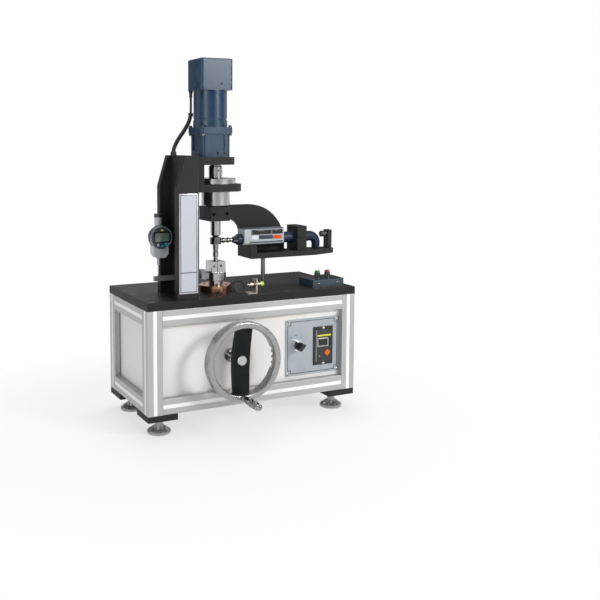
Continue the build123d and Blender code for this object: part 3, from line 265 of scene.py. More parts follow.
lead_points = metres([
    (-121, 78, 862.6), (-121, 78, 842.6), (-120.5, 78.6, 822.6), (-121, 79, 802.6), (-123, 81, 788.6),
    (-130, 83, 772.6), (-141, 82, 756.6), (-156, 78, 739.6), (-168, 75, 720.6), (-172, 74, 711),
    (-172, 74, 697)])
motor_lead = route("motor_lead", lead_points, 0.003)
motor_lead.data.materials.append(cable_rubber.material)
conduit_line = route("conduit_line", lead_points[3:], 0.0)
rib_pitch = 2.9
rib_count = 41
bm = bmesh.new()
rib = []
for step in range(rib_count):
    start = step * rib_pitch
    rib += [(4.7, start), (5.5, start + 0.7), (5.5, start + 1.8), (4.7, start + 2.5)]
spun(bm, [(3.2, 0)] + rib + [(4.7, rib_count * rib_pitch), (3.2, rib_count * rib_pitch)], (0, 0, 0),
     axis=(1, 0, 0), steps=24)
conduit = piece_from(bm, "conduit", cable_rubber, "stand", sharp=50)
bend = conduit.modifiers.new("bend", "CURVE")
bend.object = conduit_line
bend.deform_axis = "POS_X"
bent = bpy.data.meshes.new_from_object(conduit.evaluated_get(bpy.context.evaluated_depsgraph_get()))
conduit.modifiers.clear()
conduit.data = bent
bpy.data.objects.remove(conduit_line)
bm = bmesh.new()
spun(bm, [(0, 862.5), (5.6, 862.5), (5.6, 859.5), (4.6, 858.5), (3.6, 846), (3.1, 846)], (-121, 78, 0))
spun(bm, [(3.1, 806.5), (5.9, 806.5), (6.4, 805.5), (6.4, 799), (5.9, 798), (4.6, 798)], (-121, 79, 0))
spun(bm, [(4.8, 706), (7.2, 706), (7.8, 705), (7.8, 697.2), (5, 697.2)], (-172, 74, 0))
lead_gland = piece_from(bm, "lead_gland", cable_rubber, "stand")
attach(motor_lead, "stand")
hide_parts("motor_cable")

# Sensor cable: a thin black lead that makes one loose loop and goes down through the table.
# It is pressed into the sensor's tail and held by the hole in the table plate.
sensor_points = metres([
    (-16, -44, 363), (-25, -44, 363), (-32, -43, 377), (-46, -42.5, 378), (-55, -42, 367), (-55, -41.5, 354),
    (-46, -40.5, 344), (-32, -39.5, 343), (-22, -38, 352), (-23, -36, 366), (-33, -34, 374), (-47, -31, 371),
    (-57, -24, 362), (-61, -15, 352), (-61, -15, 339)])
sensor_lead = route("sensor_lead", sensor_points, 0.002)
sensor_lead.data.materials.append(cable_rubber.material)
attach(sensor_lead, "stand")
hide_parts("sensor_cable")

# Frame: drawn aluminium profiles, clear anodised, with white plastic strips in their outer slots.
# Drawing leaves fine lines along each bar, so the noise is stretched along the bar's own length.
lines, entry, exit_ = node_group(
    "drawn_lines",
    [("Vector", "NodeSocketVector", None), ("Across", "NodeSocketVector", (900.0, 900.0, 12.0))],
    [("Height", "NodeSocketFloat"), ("Tone", "NodeSocketFloat")])
stretch = lines.nodes.new("ShaderNodeVectorMath")
stretch.operation = "MULTIPLY"
lines.links.new(entry.outputs["Vector"], stretch.inputs[0])
lines.links.new(entry.outputs["Across"], stretch.inputs[1])
streak = noise(lines, stretch.outputs["Vector"], 1.0, 4.0, 0.65)
lines.links.new(streak, exit_.inputs["Height"])
lines.links.new(spread(lines, streak, 0.3, 0.7), exit_.inputs["Tone"])


def drawn(name, colour, tone, rough, metal, across=(900.0, 900.0, 12.0)):
    finish = Finish(name, metal=metal, bump=0.00008, strength=0.35)
    bar = placed(finish.tree, lines, Vector=finish.coords, Across=across)
    cloud = placed(finish.tree, grain, Vector=finish.coords, Fine=700.0, Slow=9.0)
    shade = mix(finish.tree, bar["Tone"], colour, tone)
    shade = mix(finish.tree, cloud["Tone"], shade, tuple((a + b) * 0.53 for a, b in zip(colour, tone)))
    finish.set("Base Color", shade)
    finish.set("Roughness", mix(finish.tree, cloud["Tone"], rough, rough + 0.1, "FLOAT"))
    finish.set("Height", bar["Height"])
    return finish


post_metal = drawn("post_metal", (0.41, 0.41, 0.41), (0.48, 0.48, 0.48), 0.42, 0.6)
rail_metal = drawn("rail_metal", (0.41, 0.41, 0.41), (0.48, 0.48, 0.48), 0.42, 0.6,
                   across=(60.0, 60.0, 900.0))
strip_plastic = grained("strip_plastic", (0.86, 0.86, 0.85), (0.90, 0.90, 0.90), 0.38, 0.5, fine=1500, slow=8)
panel_sheet = grained("panel_sheet", (0.78, 0.765, 0.745), (0.80, 0.785, 0.77), 0.46, 0.56, fine=1100, slow=5)
dress(post_metal, "frame_posts")
dress(rail_metal, "frame_rails")
dress(strip_plastic, "slot_covers")
dress(panel_sheet, "front_panel", "closing_panels")

# Black plates: milled aluminium, black anodised, with bare metal showing faintly on the edges.
# Table, column, drive bracket, clamp block, swing arm and tray are all cut from such plate.
# The levelling feet are bright castings, and the frame's screws are blackened steel.
black_plate = grained("black_plate", (0.016, 0.016, 0.016), (0.024, 0.024, 0.023), 0.5, 0.62, fine=1300,
                      slow=11, worn=(0.09, 0.09, 0.09), bump=0.0001, shine=0.2)
table_black = grained("table_black", (0.013, 0.013, 0.013), (0.020, 0.020, 0.019), 0.42, 0.56, fine=1600,
                      slow=7, worn=(0.08, 0.08, 0.08), bump=0.0001, shine=0.16)
foot_cast = grained("foot_cast", (0.30, 0.305, 0.31), (0.42, 0.425, 0.43), 0.28, 0.42, fine=700, slow=30,
                    worn=(0.6, 0.61, 0.62), metal=0.6)
screw_black = grained("screw_black", (0.03, 0.03, 0.032), (0.06, 0.06, 0.063), 0.3, 0.45, fine=1800, slow=60,
                      worn=(0.4, 0.4, 0.41), metal=0.6)
dress(black_plate, "corner_plates", "column_plates", "column_web", "drive_bracket", "clamp_block",
      "swing_arm", "tray", "saddle_lower", "saddle_upper", "end_stop", "indicator_bracket")
dress(table_black, "table_plate")
dress(foot_cast, "levelling_feet")
dress(screw_black, "frame_screws")

# Gear motor: die-cast gearhead, round motor body and sheet terminal cover, all in steel blue enamel.
# The enamel has a light orange peel and wears through to a paler blue on its edges.
motor_blue = grained("motor_blue", (0.010, 0.036, 0.080), (0.014, 0.046, 0.096), 0.24, 0.34, fine=420,
                     slow=16, worn=(0.10, 0.19, 0.31), bump=0.00015, strength=0.2, shine=0.45)
dress(motor_blue, "gearhead", "motor_body", "motor_cover")

# Spindle and bearing: ground and turned steel, with fine rings left by the lathe.
# The rings group reads the distance from the turning axis and the place along it.
# Rod, adapter and pressure screw are turned too; the measuring bar is drawn flat bar.
rings, entry, exit_ = node_group(
    "turned_rings",
    [("Vector", "NodeSocketVector", None), ("Fine", "NodeSocketFloat", 1400.0)],
    [("Height", "NodeSocketFloat"), ("Tone", "NodeSocketFloat")])
parts = rings.nodes.new("ShaderNodeSeparateXYZ")
rings.links.new(entry.outputs["Vector"], parts.inputs[0])
flat = rings.nodes.new("ShaderNodeCombineXYZ")
rings.links.new(parts.outputs["X"], flat.inputs["X"])
rings.links.new(parts.outputs["Y"], flat.inputs["Y"])
reach = rings.nodes.new("ShaderNodeVectorMath")
reach.operation = "LENGTH"
rings.links.new(flat.outputs["Vector"], reach.inputs[0])
along = rings.nodes.new("ShaderNodeCombineXYZ")
rings.links.new(reach.outputs["Value"], along.inputs["X"])
rings.links.new(parts.outputs["Z"], along.inputs["Z"])
cut = noise(rings, along.outputs["Vector"], entry.outputs["Fine"], 4.0, 0.7)
rings.links.new(cut, exit_.inputs["Height"])
rings.links.new(spread(rings, cut, 0.32, 0.68), exit_.inputs["Tone"])


def turned(name, colour, tone, rough, centre, axis=(0, 0, 1), fine=1400.0, metal=1.0, worn=None):
    """A lathe-turned finish about an axis through a place given in millimetres."""
    finish = Finish(name, metal=metal, bump=0.00002, strength=0.18)
    mapping = finish.tree.nodes.new("ShaderNodeMapping")
    mapping.vector_type = "TEXTURE"
    mapping.inputs["Location"].default_value = Vector(centre) / 1000
    mapping.inputs["Rotation"].default_value = Vector((0, 0, 1)).rotation_difference(Vector(axis)).to_euler()
    finish.tree.links.new(finish.coords, mapping.inputs["Vector"])
    ring = placed(finish.tree, rings, Vector=mapping.outputs["Vector"], Fine=fine)
    cloud = placed(finish.tree, grain, Vector=finish.coords, Fine=900.0, Slow=35.0)
    shade = mix(finish.tree, ring["Tone"], colour, tone)
    if worn:
        shade = mix(finish.tree, placed(finish.tree, wear, Vector=finish.coords)["Mask"], shade, worn)
    finish.set("Base Color", shade)
    finish.set("Roughness", mix(finish.tree, cloud["Tone"], rough, rough + 0.12, "FLOAT"))
    finish.set("Height", ring["Height"])
    return finish


spindle_at = (-69, 37, 340)
steel = turned("steel", (0.42, 0.42, 0.41), (0.48, 0.48, 0.47), 0.18, spindle_at, fine=700.0)
rod_steel = turned("rod_steel", (0.13, 0.13, 0.13), (0.20, 0.20, 0.20), 0.2, (72.5, 37, 340), fine=700.0)
adapter_steel = turned("adapter_steel", (0.22, 0.22, 0.22), (0.42, 0.42, 0.42), 0.14, spindle_at, fine=350.0)
dress(steel, "bearing_housing", "spindle_shaft", "coupling", "chuck_body", "lift_shaft", "indicator_plunger")
dress(rod_steel, "arm_rod")
dress(adapter_steel, "adapter")
press_steel = turned("press_steel", (0.03, 0.03, 0.03), (0.06, 0.06, 0.06), 0.34, (0, 37, 476), (1, 0, 0),
                     metal=0.6)
dress(press_steel, "pressure_screw")
bar_steel = drawn("bar_steel", (0.24, 0.24, 0.24), (0.31, 0.31, 0.31), 0.4, 0.5, across=(12.0, 700.0, 700.0))
dress(bar_steel, "measuring_bar")

# Guide flange: turned bronze, bolted to the table over the lift, with the lift's shaft running in it.
# The lift's bevel gear is cut from the same bronze; its housing below the table is plain turned alloy.
bronze = turned("bronze", (0.56, 0.28, 0.16), (0.70, 0.38, 0.24), 0.17, spindle_at, worn=(0.86, 0.6, 0.46))
dress(bronze, "guide_flange", "lift_gear")
lift_alloy = turned("lift_alloy", (0.5, 0.5, 0.5), (0.62, 0.62, 0.62), 0.35, spindle_at)
dress(lift_alloy, "lift_housing")

# Handwheel: polished aluminium ring on a black moulded spoke.
# The spoke is fixed on a steel shaft that turns in a steel bushing in the front panel.
wheel_at = (-69, 0, 187)
ring_alloy = turned("ring_alloy", (0.32, 0.32, 0.32), (0.38, 0.38, 0.38), 0.22, wheel_at, (0, 1, 0),
                    fine=500.0)
spoke_black = grained("spoke_black", (0.006, 0.007, 0.007), (0.012, 0.013, 0.013), 0.28, 0.42, fine=900,
                      slow=22, worn=(0.06, 0.06, 0.06), shine=0.1)
shaft_steel = turned("shaft_steel", (0.42, 0.42, 0.42), (0.62, 0.62, 0.62), 0.2, wheel_at, (0, 1, 0))
dress(ring_alloy, "wheel_ring")
dress(spoke_black, "wheel_spoke")
dress(shaft_steel, "wheel_shaft", "shaft_bushing")

# Torque wrench: chromed head and neck, navy grip, pale grey display case.
# The case is moulded plastic round the wrench's core; its key and the controller's key are bright plastic.
head_steel = turned("head_steel", (0.035, 0.035, 0.036), (0.30, 0.30, 0.30), 0.16, (-69, 37, 472), (1, 0, 0),
                    fine=500)
grip_navy = grained("grip_navy", (0.006, 0.017, 0.040), (0.009, 0.024, 0.054), 0.34, 0.5, fine=800, slow=30,
                    worn=(0.05, 0.09, 0.16), shine=0.3)
dress(head_steel, "wrench_head")
dress(grip_navy, "wrench_tube")
case_grey = grained("case_grey", (0.40, 0.44, 0.46), (0.46, 0.50, 0.52), 0.4, 0.52, fine=1000, slow=20,
                    shine=0.35)
dress(case_grey, "wrench_case")
key_orange = grained("key_orange", (0.68, 0.06, 0.003), (0.76, 0.085, 0.005), 0.4, 0.5, fine=1000, slow=60,
                     shine=0.25)
key_amber = grained("key_amber", (0.66, 0.13, 0.005), (0.74, 0.17, 0.008), 0.4, 0.5, fine=1000, slow=60,
                    shine=0.25)
dress(key_orange, "wrench_button")
dress(key_amber, "speed_key")

# Dial indicator: pale die-cast back, foot and tube, a dark slate front ring and a black cap.
# One casting carries the back, foot and tube; the front is a moulded ring with a clear screen.
def above(finish, level, axis="Z", soft=0.0002):
    """A mask that is 1 past a level of one coordinate, in metres."""
    split = finish.tree.nodes.new("ShaderNodeSeparateXYZ")
    finish.tree.links.new(finish.coords, split.inputs[0])
    return spread(finish.tree, split.outputs[axis], level - soft, level + soft)


def within(finish, centre, radius, soft=0.0002):
    """A mask that is 1 inside a round about an axis along Y, in metres."""
    mapping = finish.tree.nodes.new("ShaderNodeMapping")
    mapping.inputs["Location"].default_value = (-centre[0], 0, -centre[1])
    mapping.inputs["Scale"].default_value = (1, 0, 1)
    finish.tree.links.new(finish.coords, mapping.inputs["Vector"])
    reach = finish.tree.nodes.new("ShaderNodeVectorMath")
    reach.operation = "LENGTH"
    finish.tree.links.new(mapping.outputs["Vector"], reach.inputs[0])
    return spread(finish.tree, reach.outputs["Value"], radius + soft, radius - soft)


def slab(bm, low, high, soft=0.0, paint=0):
    """Adds a block between two corners, in millimetres, with its edges rounded."""
    made = bmesh.ops.create_cube(bm, size=1.0)["verts"]
    size = [(b - a) / 1000 for a, b in zip(low, high)]
    bmesh.ops.scale(bm, vec=size, verts=made)
    bmesh.ops.translate(bm, vec=[(a + b) / 2000 for a, b in zip(low, high)], verts=made)
    faces = list({f for v in made for f in v.link_faces})
    for f in faces:
        f.material_index = paint
    if soft:
        edges = list({e for f in faces for e in f.edges})
        bmesh.ops.bevel(bm, geom=edges, offset=soft / 1000, affect="EDGES", segments=2, profile=0.5,
                        material=-1)


face_centre, face_radius, cap_foot = (-0.230, 0.490), 0.0292, 0.5402
gauge_cast = grained("gauge_cast", (0.44, 0.48, 0.50), (0.54, 0.58, 0.60), 0.34, 0.46, fine=1000, slow=26,
                     metal=0.2)
ahead = mix(gauge_cast.tree, within(gauge_cast, face_centre, face_radius),
            gauge_cast.shader.inputs["Base Color"].links[0].from_socket, (0.035, 0.045, 0.055))
shade = mix(gauge_cast.tree, above(gauge_cast, cap_foot), ahead, (0.03, 0.036, 0.045))
gauge_cast.set("Base Color", shade)
dress(gauge_cast, "indicator_case")
gauge_ring = grained("gauge_ring", (0.10, 0.12, 0.15), (0.17, 0.20, 0.24), 0.24, 0.34, fine=900, slow=40,
                     metal=0.5, worn=(0.5, 0.55, 0.6))
screen_black = grained("screen_black", (0.004, 0.004, 0.005), (0.009, 0.009, 0.010), 0.16, 0.26, fine=900,
                       slow=50)
screen_glass = grained("screen_glass", (0.115, 0.165, 0.14), (0.15, 0.205, 0.175), 0.10, 0.18, fine=900,
                       slow=70, coat=0.6)
mark_yellow = grained("mark_yellow", (0.62, 0.55, 0.02), (0.74, 0.66, 0.04), 0.4, 0.5, fine=900, slow=70)
mark_white = grained("mark_white", (0.62, 0.64, 0.66), (0.72, 0.74, 0.76), 0.4, 0.5, fine=900, slow=70)
bm = bmesh.new()
spun(bm, [(29.3, -4), (29.3, 0.2), (28.4, 1.3), (27.2, 1.3), (26.4, 0.25), (26.4, 0.05), (27, -0.5), (27, -4),
          (29.3, -4)], (-230, 13, 490), axis=(0, -1, 0), steps=64)
spun(bm, [(29.2, 14.2), (29.8, 14.6), (29.8, 16.4), (29.2, 16.8), (28.4, 16.8), (28.4, 14.2), (29.2, 14.2)],
     (-230, 42.5, 490), axis=(0, -1, 0), steps=64)
slab(bm, (-250.5, 12.2, 477.2), (-206, 13.05, 504.6), 0.5, 1)
slab(bm, (-247.2, 11.95, 480), (-209.6, 12.25, 501.4), 0.1, 2)
slab(bm, (-232, 12.6, 507.2), (-225, 13.05, 510.6), 0.2, 3)
slab(bm, (-212.6, 12.6, 472.6), (-210, 13.05, 475.2), 0.2, 4)
slab(bm, (-240.6, 12.75, 475.1), (-236.6, 13.05, 475.9), 0.1, 4)
slab(bm, (-220, 12.75, 475.2), (-216, 13.05, 476.0), 0.1, 4)
piece_from(bm, "gauge_front", [gauge_ring, screen_black, screen_glass, mark_yellow, mark_white],
           "stand")
key_blue = grained("key_blue", (0.01, 0.20, 0.62), (0.02, 0.26, 0.72), 0.35, 0.45, fine=1000, slow=60)
key_teal = grained("key_teal", (0.01, 0.38, 0.33), (0.02, 0.46, 0.40), 0.35, 0.45, fine=1000, slow=60)
key_pale = grained("key_pale", (0.45, 0.58, 0.75), (0.55, 0.68, 0.82), 0.35, 0.45, fine=1000, slow=60)
dress(key_pale, "indicator_key_1")
dress(key_blue, "indicator_key_2")
dress(key_teal, "indicator_key_3")

# Button box and selector: a slate enamelled box with a black lid and two coloured plastic caps.
# The selector is a black moulded knob in a chromed collar, screwed through the grey control plate.
box_slate = grained("box_slate", (0.022, 0.044, 0.062), (0.030, 0.056, 0.076), 0.22, 0.32, fine=380, slow=18,
                    worn=(0.16, 0.24, 0.31), coat=0.3)
lid_foot = 0.3596
enamel = box_slate.shader.inputs["Base Color"].links[0].from_socket
lid_black = mix(box_slate.tree, above(box_slate, lid_foot), enamel, (0.014, 0.016, 0.017))
box_slate.set("Base Color", lid_black)
dress(box_slate, "button_box")
green_cap = grained("green_cap", (0.01, 0.22, 0.05), (0.02, 0.30, 0.08), 0.3, 0.4, fine=900, slow=60)
red_cap = grained("red_cap", (0.50, 0.012, 0.02), (0.62, 0.02, 0.03), 0.3, 0.4, fine=900, slow=60)
dress(green_cap, "start_button")
dress(red_cap, "stop_button")
plate_grey = grained("plate_grey", (0.36, 0.40, 0.43), (0.41, 0.45, 0.48), 0.34, 0.44, fine=1200, slow=30,
                     metal=0.3)
dress(plate_grey, "control_plate")
chrome = turned("chrome", (0.80, 0.80, 0.81), (0.88, 0.88, 0.89), 0.05, (125, 0, 192), (0, 1, 0), fine=300)
dress(chrome, "selector_bezel")
knob_black = grained("knob_black", (0.010, 0.010, 0.012), (0.020, 0.020, 0.022), 0.25, 0.4, fine=900, slow=40,
                     worn=(0.10, 0.10, 0.11))
dress(knob_black, "selector_knob", "speed_controller")

# Sensor: a nickelled barrel clamped by two nuts in a pale zinc angle, which stands on the table.
# A lime plastic cap is pressed over the barrel's end.
sensor_nickel = turned("sensor_nickel", (0.34, 0.25, 0.20), (0.50, 0.40, 0.34), 0.24, (0, -44, 363),
                       (1, 0, 0))
angle_zinc = drawn("angle_zinc", (0.42, 0.36, 0.30), (0.52, 0.46, 0.40), 0.36, 0.6)
tip_lime = grained("tip_lime", (0.36, 0.56, 0.012), (0.44, 0.66, 0.02), 0.35, 0.45, fine=900, slow=80)
dress(sensor_nickel, "sensor")
dress(angle_zinc, "sensor_bracket")
bm = bmesh.new()
spun(bm, [(0, 8.4), (5.2, 8.4), (6.2, 7.6), (6.2, 0), (5.9, 0)], (22.2, -44, 363), axis=(1, 0, 0), steps=32)
piece_from(bm, "sensor_tip", tip_lime, "stand")

# Crank handle: a chromed grip with twisted flutes, cast and plated, free on its pin.
# Seven flutes turn by 150 degrees from the collar to the tip.
crank_reach, crank_angle = 90, math.radians(-93.4)
handle_at = (-69 + crank_reach * math.cos(crank_angle), -141, 187 + crank_reach * math.sin(crank_angle))
flute_count = 7
flute_twist, grip_length = math.radians(150), 90
stations = [(0.6, 7.8, 0), (7.5, 8.2, 0), (9.5, 6.4, 0), (13.5, 6.4, 0), (17, 8.2, 0.4), (22, 9.4, 1.4)]
stations += [(22 + 4 * k, 9.8 + 0.9 * math.sin(math.pi * k / 15), 1.8) for k in range(1, 15)]
stations += [(81, 9.2, 1.4), (84.5, 8.0, 0.6), (87.5, 5.8, 0), (89.2, 3.2, 0)]
bm = bmesh.new()
loop = bmesh.ops.create_circle(bm, cap_ends=True, segments=flute_count * 6, radius=0.001)["verts"]
for count, (high, radius, depth) in enumerate(stations):
    if count:
        caps = [f for f in bm.faces if len(f.verts) == len(loop)]
        top = max(caps, key=lambda f: f.calc_center_median().z)
        made = bmesh.ops.extrude_face_region(bm, geom=[top])
        bmesh.ops.delete(bm, geom=[top], context="FACES_ONLY")
        loop = [v for v in made["geom"] if isinstance(v, bmesh.types.BMVert)]
    for v in loop:
        turn = math.atan2(v.co.y, v.co.x)
        wave = 0.5 - 0.5 * math.cos(flute_count * turn)
        span = (radius - 1.25 * depth * wave) / 1000
        v.co = Vector((span * math.cos(turn), span * math.sin(turn), high / 1000))
for v in bm.verts:
    twist = Matrix.Rotation(v.co.z * 1000 / grip_length * flute_twist, 3, "Z")
    v.co = twist @ v.co
bmesh.ops.rotate(bm, verts=bm.verts, cent=(0, 0, 0), matrix=Matrix.Rotation(math.radians(90), 3, "X"))
bmesh.ops.translate(bm, verts=bm.verts, vec=Vector(handle_at) / 1000)
bmesh.ops.recalc_face_normals(bm, faces=bm.faces)
handle_chrome = turned("handle_chrome", (0.14, 0.14, 0.15), (0.55, 0.55, 0.56), 0.07, handle_at, (0, 1, 0),
                       fine=260)
crank_grip = piece_from(bm, "crank_grip", handle_chrome, "crank", sharp=60)
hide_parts("crank_handle")

# Name plate: a bare silvery plate on the column's front edge, with a dark border line.
# The field has a fine speckle and is parted in two by a dark line near its foot.
rim_silver = grained("rim_silver", (0.50, 0.51, 0.56), (0.60, 0.61, 0.66), 0.28, 0.4, fine=900, slow=20,
                     metal=0.4)
plate_line = grained("plate_line", (0.04, 0.04, 0.05), (0.07, 0.07, 0.09), 0.4, 0.5, fine=900, slow=50)
plate_field = grained("plate_field", (0.48, 0.50, 0.55), (0.53, 0.55, 0.60), 0.34, 0.44, fine=1600, slow=260,
                      metal=0.2)
bm = bmesh.new()
slab(bm, (-210.4, -57.1, 354.5), (-160.2, -56, 603.8), 0.4)
slab(bm, (-207.6, -57.25, 357.6), (-163.0, -57.05, 600.8), 0, 1)
slab(bm, (-205.8, -57.4, 359.4), (-164.8, -57.2, 406.3), 0, 2)
slab(bm, (-205.8, -57.4, 408.6), (-164.8, -57.2, 599.0), 0, 2)
piece_from(bm, "name_plate", [rim_silver, plate_line, plate_field], "stand")

# Control plate: speckled silver plate with a printed border that steps round its four screws.
# Three plain ticks mark the selector's positions.
screw_nickel = grained("screw_nickel", (0.50, 0.50, 0.44), (0.68, 0.68, 0.62), 0.18, 0.3, fine=900, slow=80,
                       metal=0.9)
# The slots are not cut: a dark bar on each screw head is painted shade where the slot would lie.
slot_painted_shade = grained("slot_painted_shade", (0.05, 0.05, 0.02), (0.09, 0.08, 0.03), 0.5, 0.6, fine=900, slow=80)


def slotted(bm, x, y, z, radius=4.0, axis=(0, -1, 0), turn=0.6):
    """Adds a domed screw whose slot is a dark bar across the head, painted shade in place of a cut; the head
    stands on a face at a place in millimetres.
    """
    dome = [(0, 0.62), (0.45, 0.57), (0.8, 0.38), (1, 0.12)]
    spun(bm, [(r * radius, h * radius) for r, h in dome] + [(radius, -0.2)], (x, y, z), axis=axis, steps=24)
    old = set(bm.verts)
    # The slot is a dark bar standing on the dome: painted shade in place of a cut slot.
    low, high = (-0.86, -0.13, 0.42), (0.86, 0.13, 0.635)
    slab(bm, [share * radius for share in low], [share * radius for share in high], 0, 1)
    made = [v for v in bm.verts if v not in old]
    way = Vector((0, 0, 1)).rotation_difference(Vector(axis)).to_matrix().to_4x4()
    spin = Matrix.Rotation(turn, 4, "Z")
    bmesh.ops.transform(bm, matrix=Matrix.Translation(Vector((x, y, z)) / 1000) @ way @ spin, verts=made)


left, right, low, high = 98.5, 254.5, 113.5, 255.5
step, line = 9.5, 1.7
plate_front, inside, border_front, tick_front = -53.5, -53.4, -53.85, -53.75
bm = bmesh.new()
for x, x_step in ((left, left + step), (right - line, right - step - line)):
    slab(bm, (x, border_front, low + step), (x + line, inside, high - step), 0.1)
    for z in (low, high - step):
        slab(bm, (x_step, border_front, z), (x_step + line, inside, z + step), 0.1)
for z, z_step in ((low, low + step), (high - line, high - step - line)):
    slab(bm, (left + step, border_front, z), (right - step, inside, z + line), 0.1)
    for x in (left, right - step - line):
        slab(bm, (x, border_front, z_step), (x + step + line, inside, z_step + line), 0.1)
for x, z, wide in ((109, 213, 6), (125, 218.5, 8), (141.5, 212, 5)):
    slab(bm, (x - wide / 2, tick_front, z - 0.8), (x + wide / 2, inside, z + 0.8), 0.1)
piece_from(bm, "control_border", plate_line, "stand")
bm = bmesh.new()
for count, (x, z) in enumerate([(99.5, 115), (253.5, 115), (99.5, 254), (253.5, 254)]):
    slotted(bm, x, plate_front, z, 4.2, turn=0.5 + 0.7 * count)
for z in (134.8, 231.4):
    slotted(bm, 208.5, -57.5, z, 4.0, turn=0.9)
piece_from(bm, "plate_screws", [screw_nickel, slot_painted_shade], "stand")

# Speed controller face: a raised black moulded panel with a framed window, a yellow strip and a lamp.
# The panel's lower part is parted round the controller's key.
panel_black = grained("panel_black", (0.016, 0.017, 0.019), (0.034, 0.035, 0.038), 0.4, 0.55, fine=1400,
                      slow=60)
frame_pale = grained("frame_pale", (0.34, 0.34, 0.33), (0.46, 0.46, 0.45), 0.26, 0.36, fine=900, slow=60,
                     metal=0.6)
lamp_lime = grained("lamp_lime", (0.42, 0.50, 0.03), (0.55, 0.62, 0.05), 0.2, 0.3, fine=900, slow=80)
bm = bmesh.new()
panel_back = -57.4
slab(bm, (185, -58.4, 198), (233.4, panel_back, 226), 0.5, 0)
key_left, key_right, key_low, key_high = 210.1, 230.9, 152.6, 173.4
for left, low, right, high in ((185, 141, 233.4, key_low), (185, key_low, key_left, key_high),
                               (key_right, key_low, 233.4, key_high), (185, key_high, 233.4, 181)):
    slab(bm, (left, -58.1, low), (right, panel_back, high))
slab(bm, (185, -58.1, 181.4), (233.4, panel_back, 197.6), 0.2, 4)
slab(bm, (184.2, -59.1, 140), (186, panel_back, 226.6), 0.4, 1)
slab(bm, (188.5, -58.75, 208.6), (231.5, -58.35, 213.2), 0.15, 2)
slab(bm, (188, -59.6, 180.5), (223.5, -58.0, 205), 0.6, 1)
slab(bm, (191.3, -59.9, 184), (220.2, -59.5, 201.6), 0.2, 4)
slab(bm, (224.5, -58.8, 181), (232.8, -58.2, 204), 0.3, 4)
for profile, place, paint in (([(0, 1.4), (1.2, 1.1), (1.8, 0.3), (1.8, -0.3)], (196, -58.1, 155), 3),
                              ([(0, 0.5), (1.6, 0.5), (1.9, 0.2), (1.9, -0.3)], (199.5, -58.1, 148.6), 4)):
    spun(bm, profile, place, axis=(0, -1, 0), steps=20, paint=paint)
piece_from(bm, "controller_panel", [panel_black, frame_pale, mark_yellow, lamp_lime, screen_black],
           "stand")

# Wrench display: a dark window over a navy key field and a pale square, with a green-black lip.
# The case's deck, above the window, is slate instead of pale grey.
deck_slate = grained("deck_slate", (0.085, 0.095, 0.108), (0.12, 0.132, 0.148), 0.34, 0.44, fine=1000,
                     slow=40)
deck_foot = 0.4995
case_shade = case_grey.shader.inputs["Base Color"].links[0].from_socket
deck = mix(case_grey.tree, above(case_grey, deck_foot), case_shade, (0.07, 0.08, 0.09))
case_grey.set("Base Color", deck)
keys_navy = grained("keys_navy", (0.012, 0.018, 0.045), (0.022, 0.030, 0.065), 0.4, 0.5, fine=1000, slow=60)
lip_green = grained("lip_green", (0.008, 0.022, 0.014), (0.014, 0.032, 0.020), 0.3, 0.4, fine=1000, slow=60)
bm = bmesh.new()
slab(bm, (26, 15.2, 484.5), (121.5, 16.3, 498), 0.5, 3)
slab(bm, (29.5, 14.7, 485.6), (85.4, 15.5, 496.6), 0.4, 0)
slab(bm, (90, 14.7, 485.6), (119.5, 15.5, 496.6), 0.4, 0)
slab(bm, (28, 15.5, 472.3), (47.4, 16.3, 482.6), 0.3, 1)
slab(bm, (49.4, 15.4, 472.3), (90.2, 16.3, 482.6), 0.3, 2)
for column in range(6):
    for row in range(2):
        x, z = 51 + column * 6.5, 473.2 + row * 4.8
        slab(bm, (x, 14.9, z), (x + 5.4, 15.6, z + 3.8), 0.35, 2)
slab(bm, (22, 14.9, 463.2), (122, 16.4, 466.4), 0.6, 4)
slab(bm, (27.5, 17, 500.4), (120, 38, 501.7), 0.5, 3)
piece_from(bm, "wrench_display", [screen_black, mark_white, keys_navy, deck_slate, lip_green],
           "spindle")

# Button box screws: small brass pan heads with a slot, drawn as a dark bar of painted shade.
# Two hold the front and four hold the lid at its corners.
screw_brass = grained("screw_brass", (0.50, 0.34, 0.22), (0.66, 0.48, 0.34), 0.2, 0.32, fine=900, slow=80,
                      metal=0.9)
bm = bmesh.new()
for x in (203, 262):
    slotted(bm, x, -40, 350, 2.2, turn=0.4)
for x in (190, 277):
    for y in (-34, 30):
        slotted(bm, x, y, 361, 2.2, axis=(0, 0, 1), turn=1.1)
piece_from(bm, "box_screws", [screw_brass, slot_painted_shade], "stand")

# Motor screws: blackened steel socket heads at the flange's corners and on the gearhead's ledge.
# The flange's corner screws have hexagon nuts below it, and pan heads hold the terminal cover.
def socket_screw(bm, x, y, z, radius, height):
    """Adds a cap screw with a chamfered rim and a round socket."""
    rim = [(0, 0.35), (0.5, 0.35), (0.52, 1), (0.9, 1), (1, 0.86)]
    spun(bm, [(r * radius, h * height) for r, h in rim] + [(radius, -0.2)], (x, y, z), steps=24)


bm = bmesh.new()
for x in (-122.5, -45.5):
    for y in (-1.5, 75.5):
        socket_screw(bm, x, y, 768.6, 4.3, 5)
        spun(bm, [(0, 0), (4.6, 0), (5.2, -1), (5.2, -5.5), (0, -5.5)], (x, y, 752.3), steps=6)
for x in (-78, -60):
    socket_screw(bm, x, -3.3, 700.5, 4.2, 4.5)
cover_top = 942.6
for x in (-122, -46):
    for y in (-1, 75):
        spun(bm, [(0, 2.0), (1.6, 1.9), (2.8, 1.2), (3.2, -0.1)], (x, y, cover_top - 2.2), steps=20)
for place, axis in (((-72, -8, 878), (0, -1, 0)), ((-129, 30, 878), (-1, 0, 0))):
    spun(bm, [(0, 1.5), (1.4, 1.4), (2.4, 0.8), (2.7, -0.2)], place, axis=axis, steps=20)
piece_from(bm, "motor_screws", screw_black, "stand")

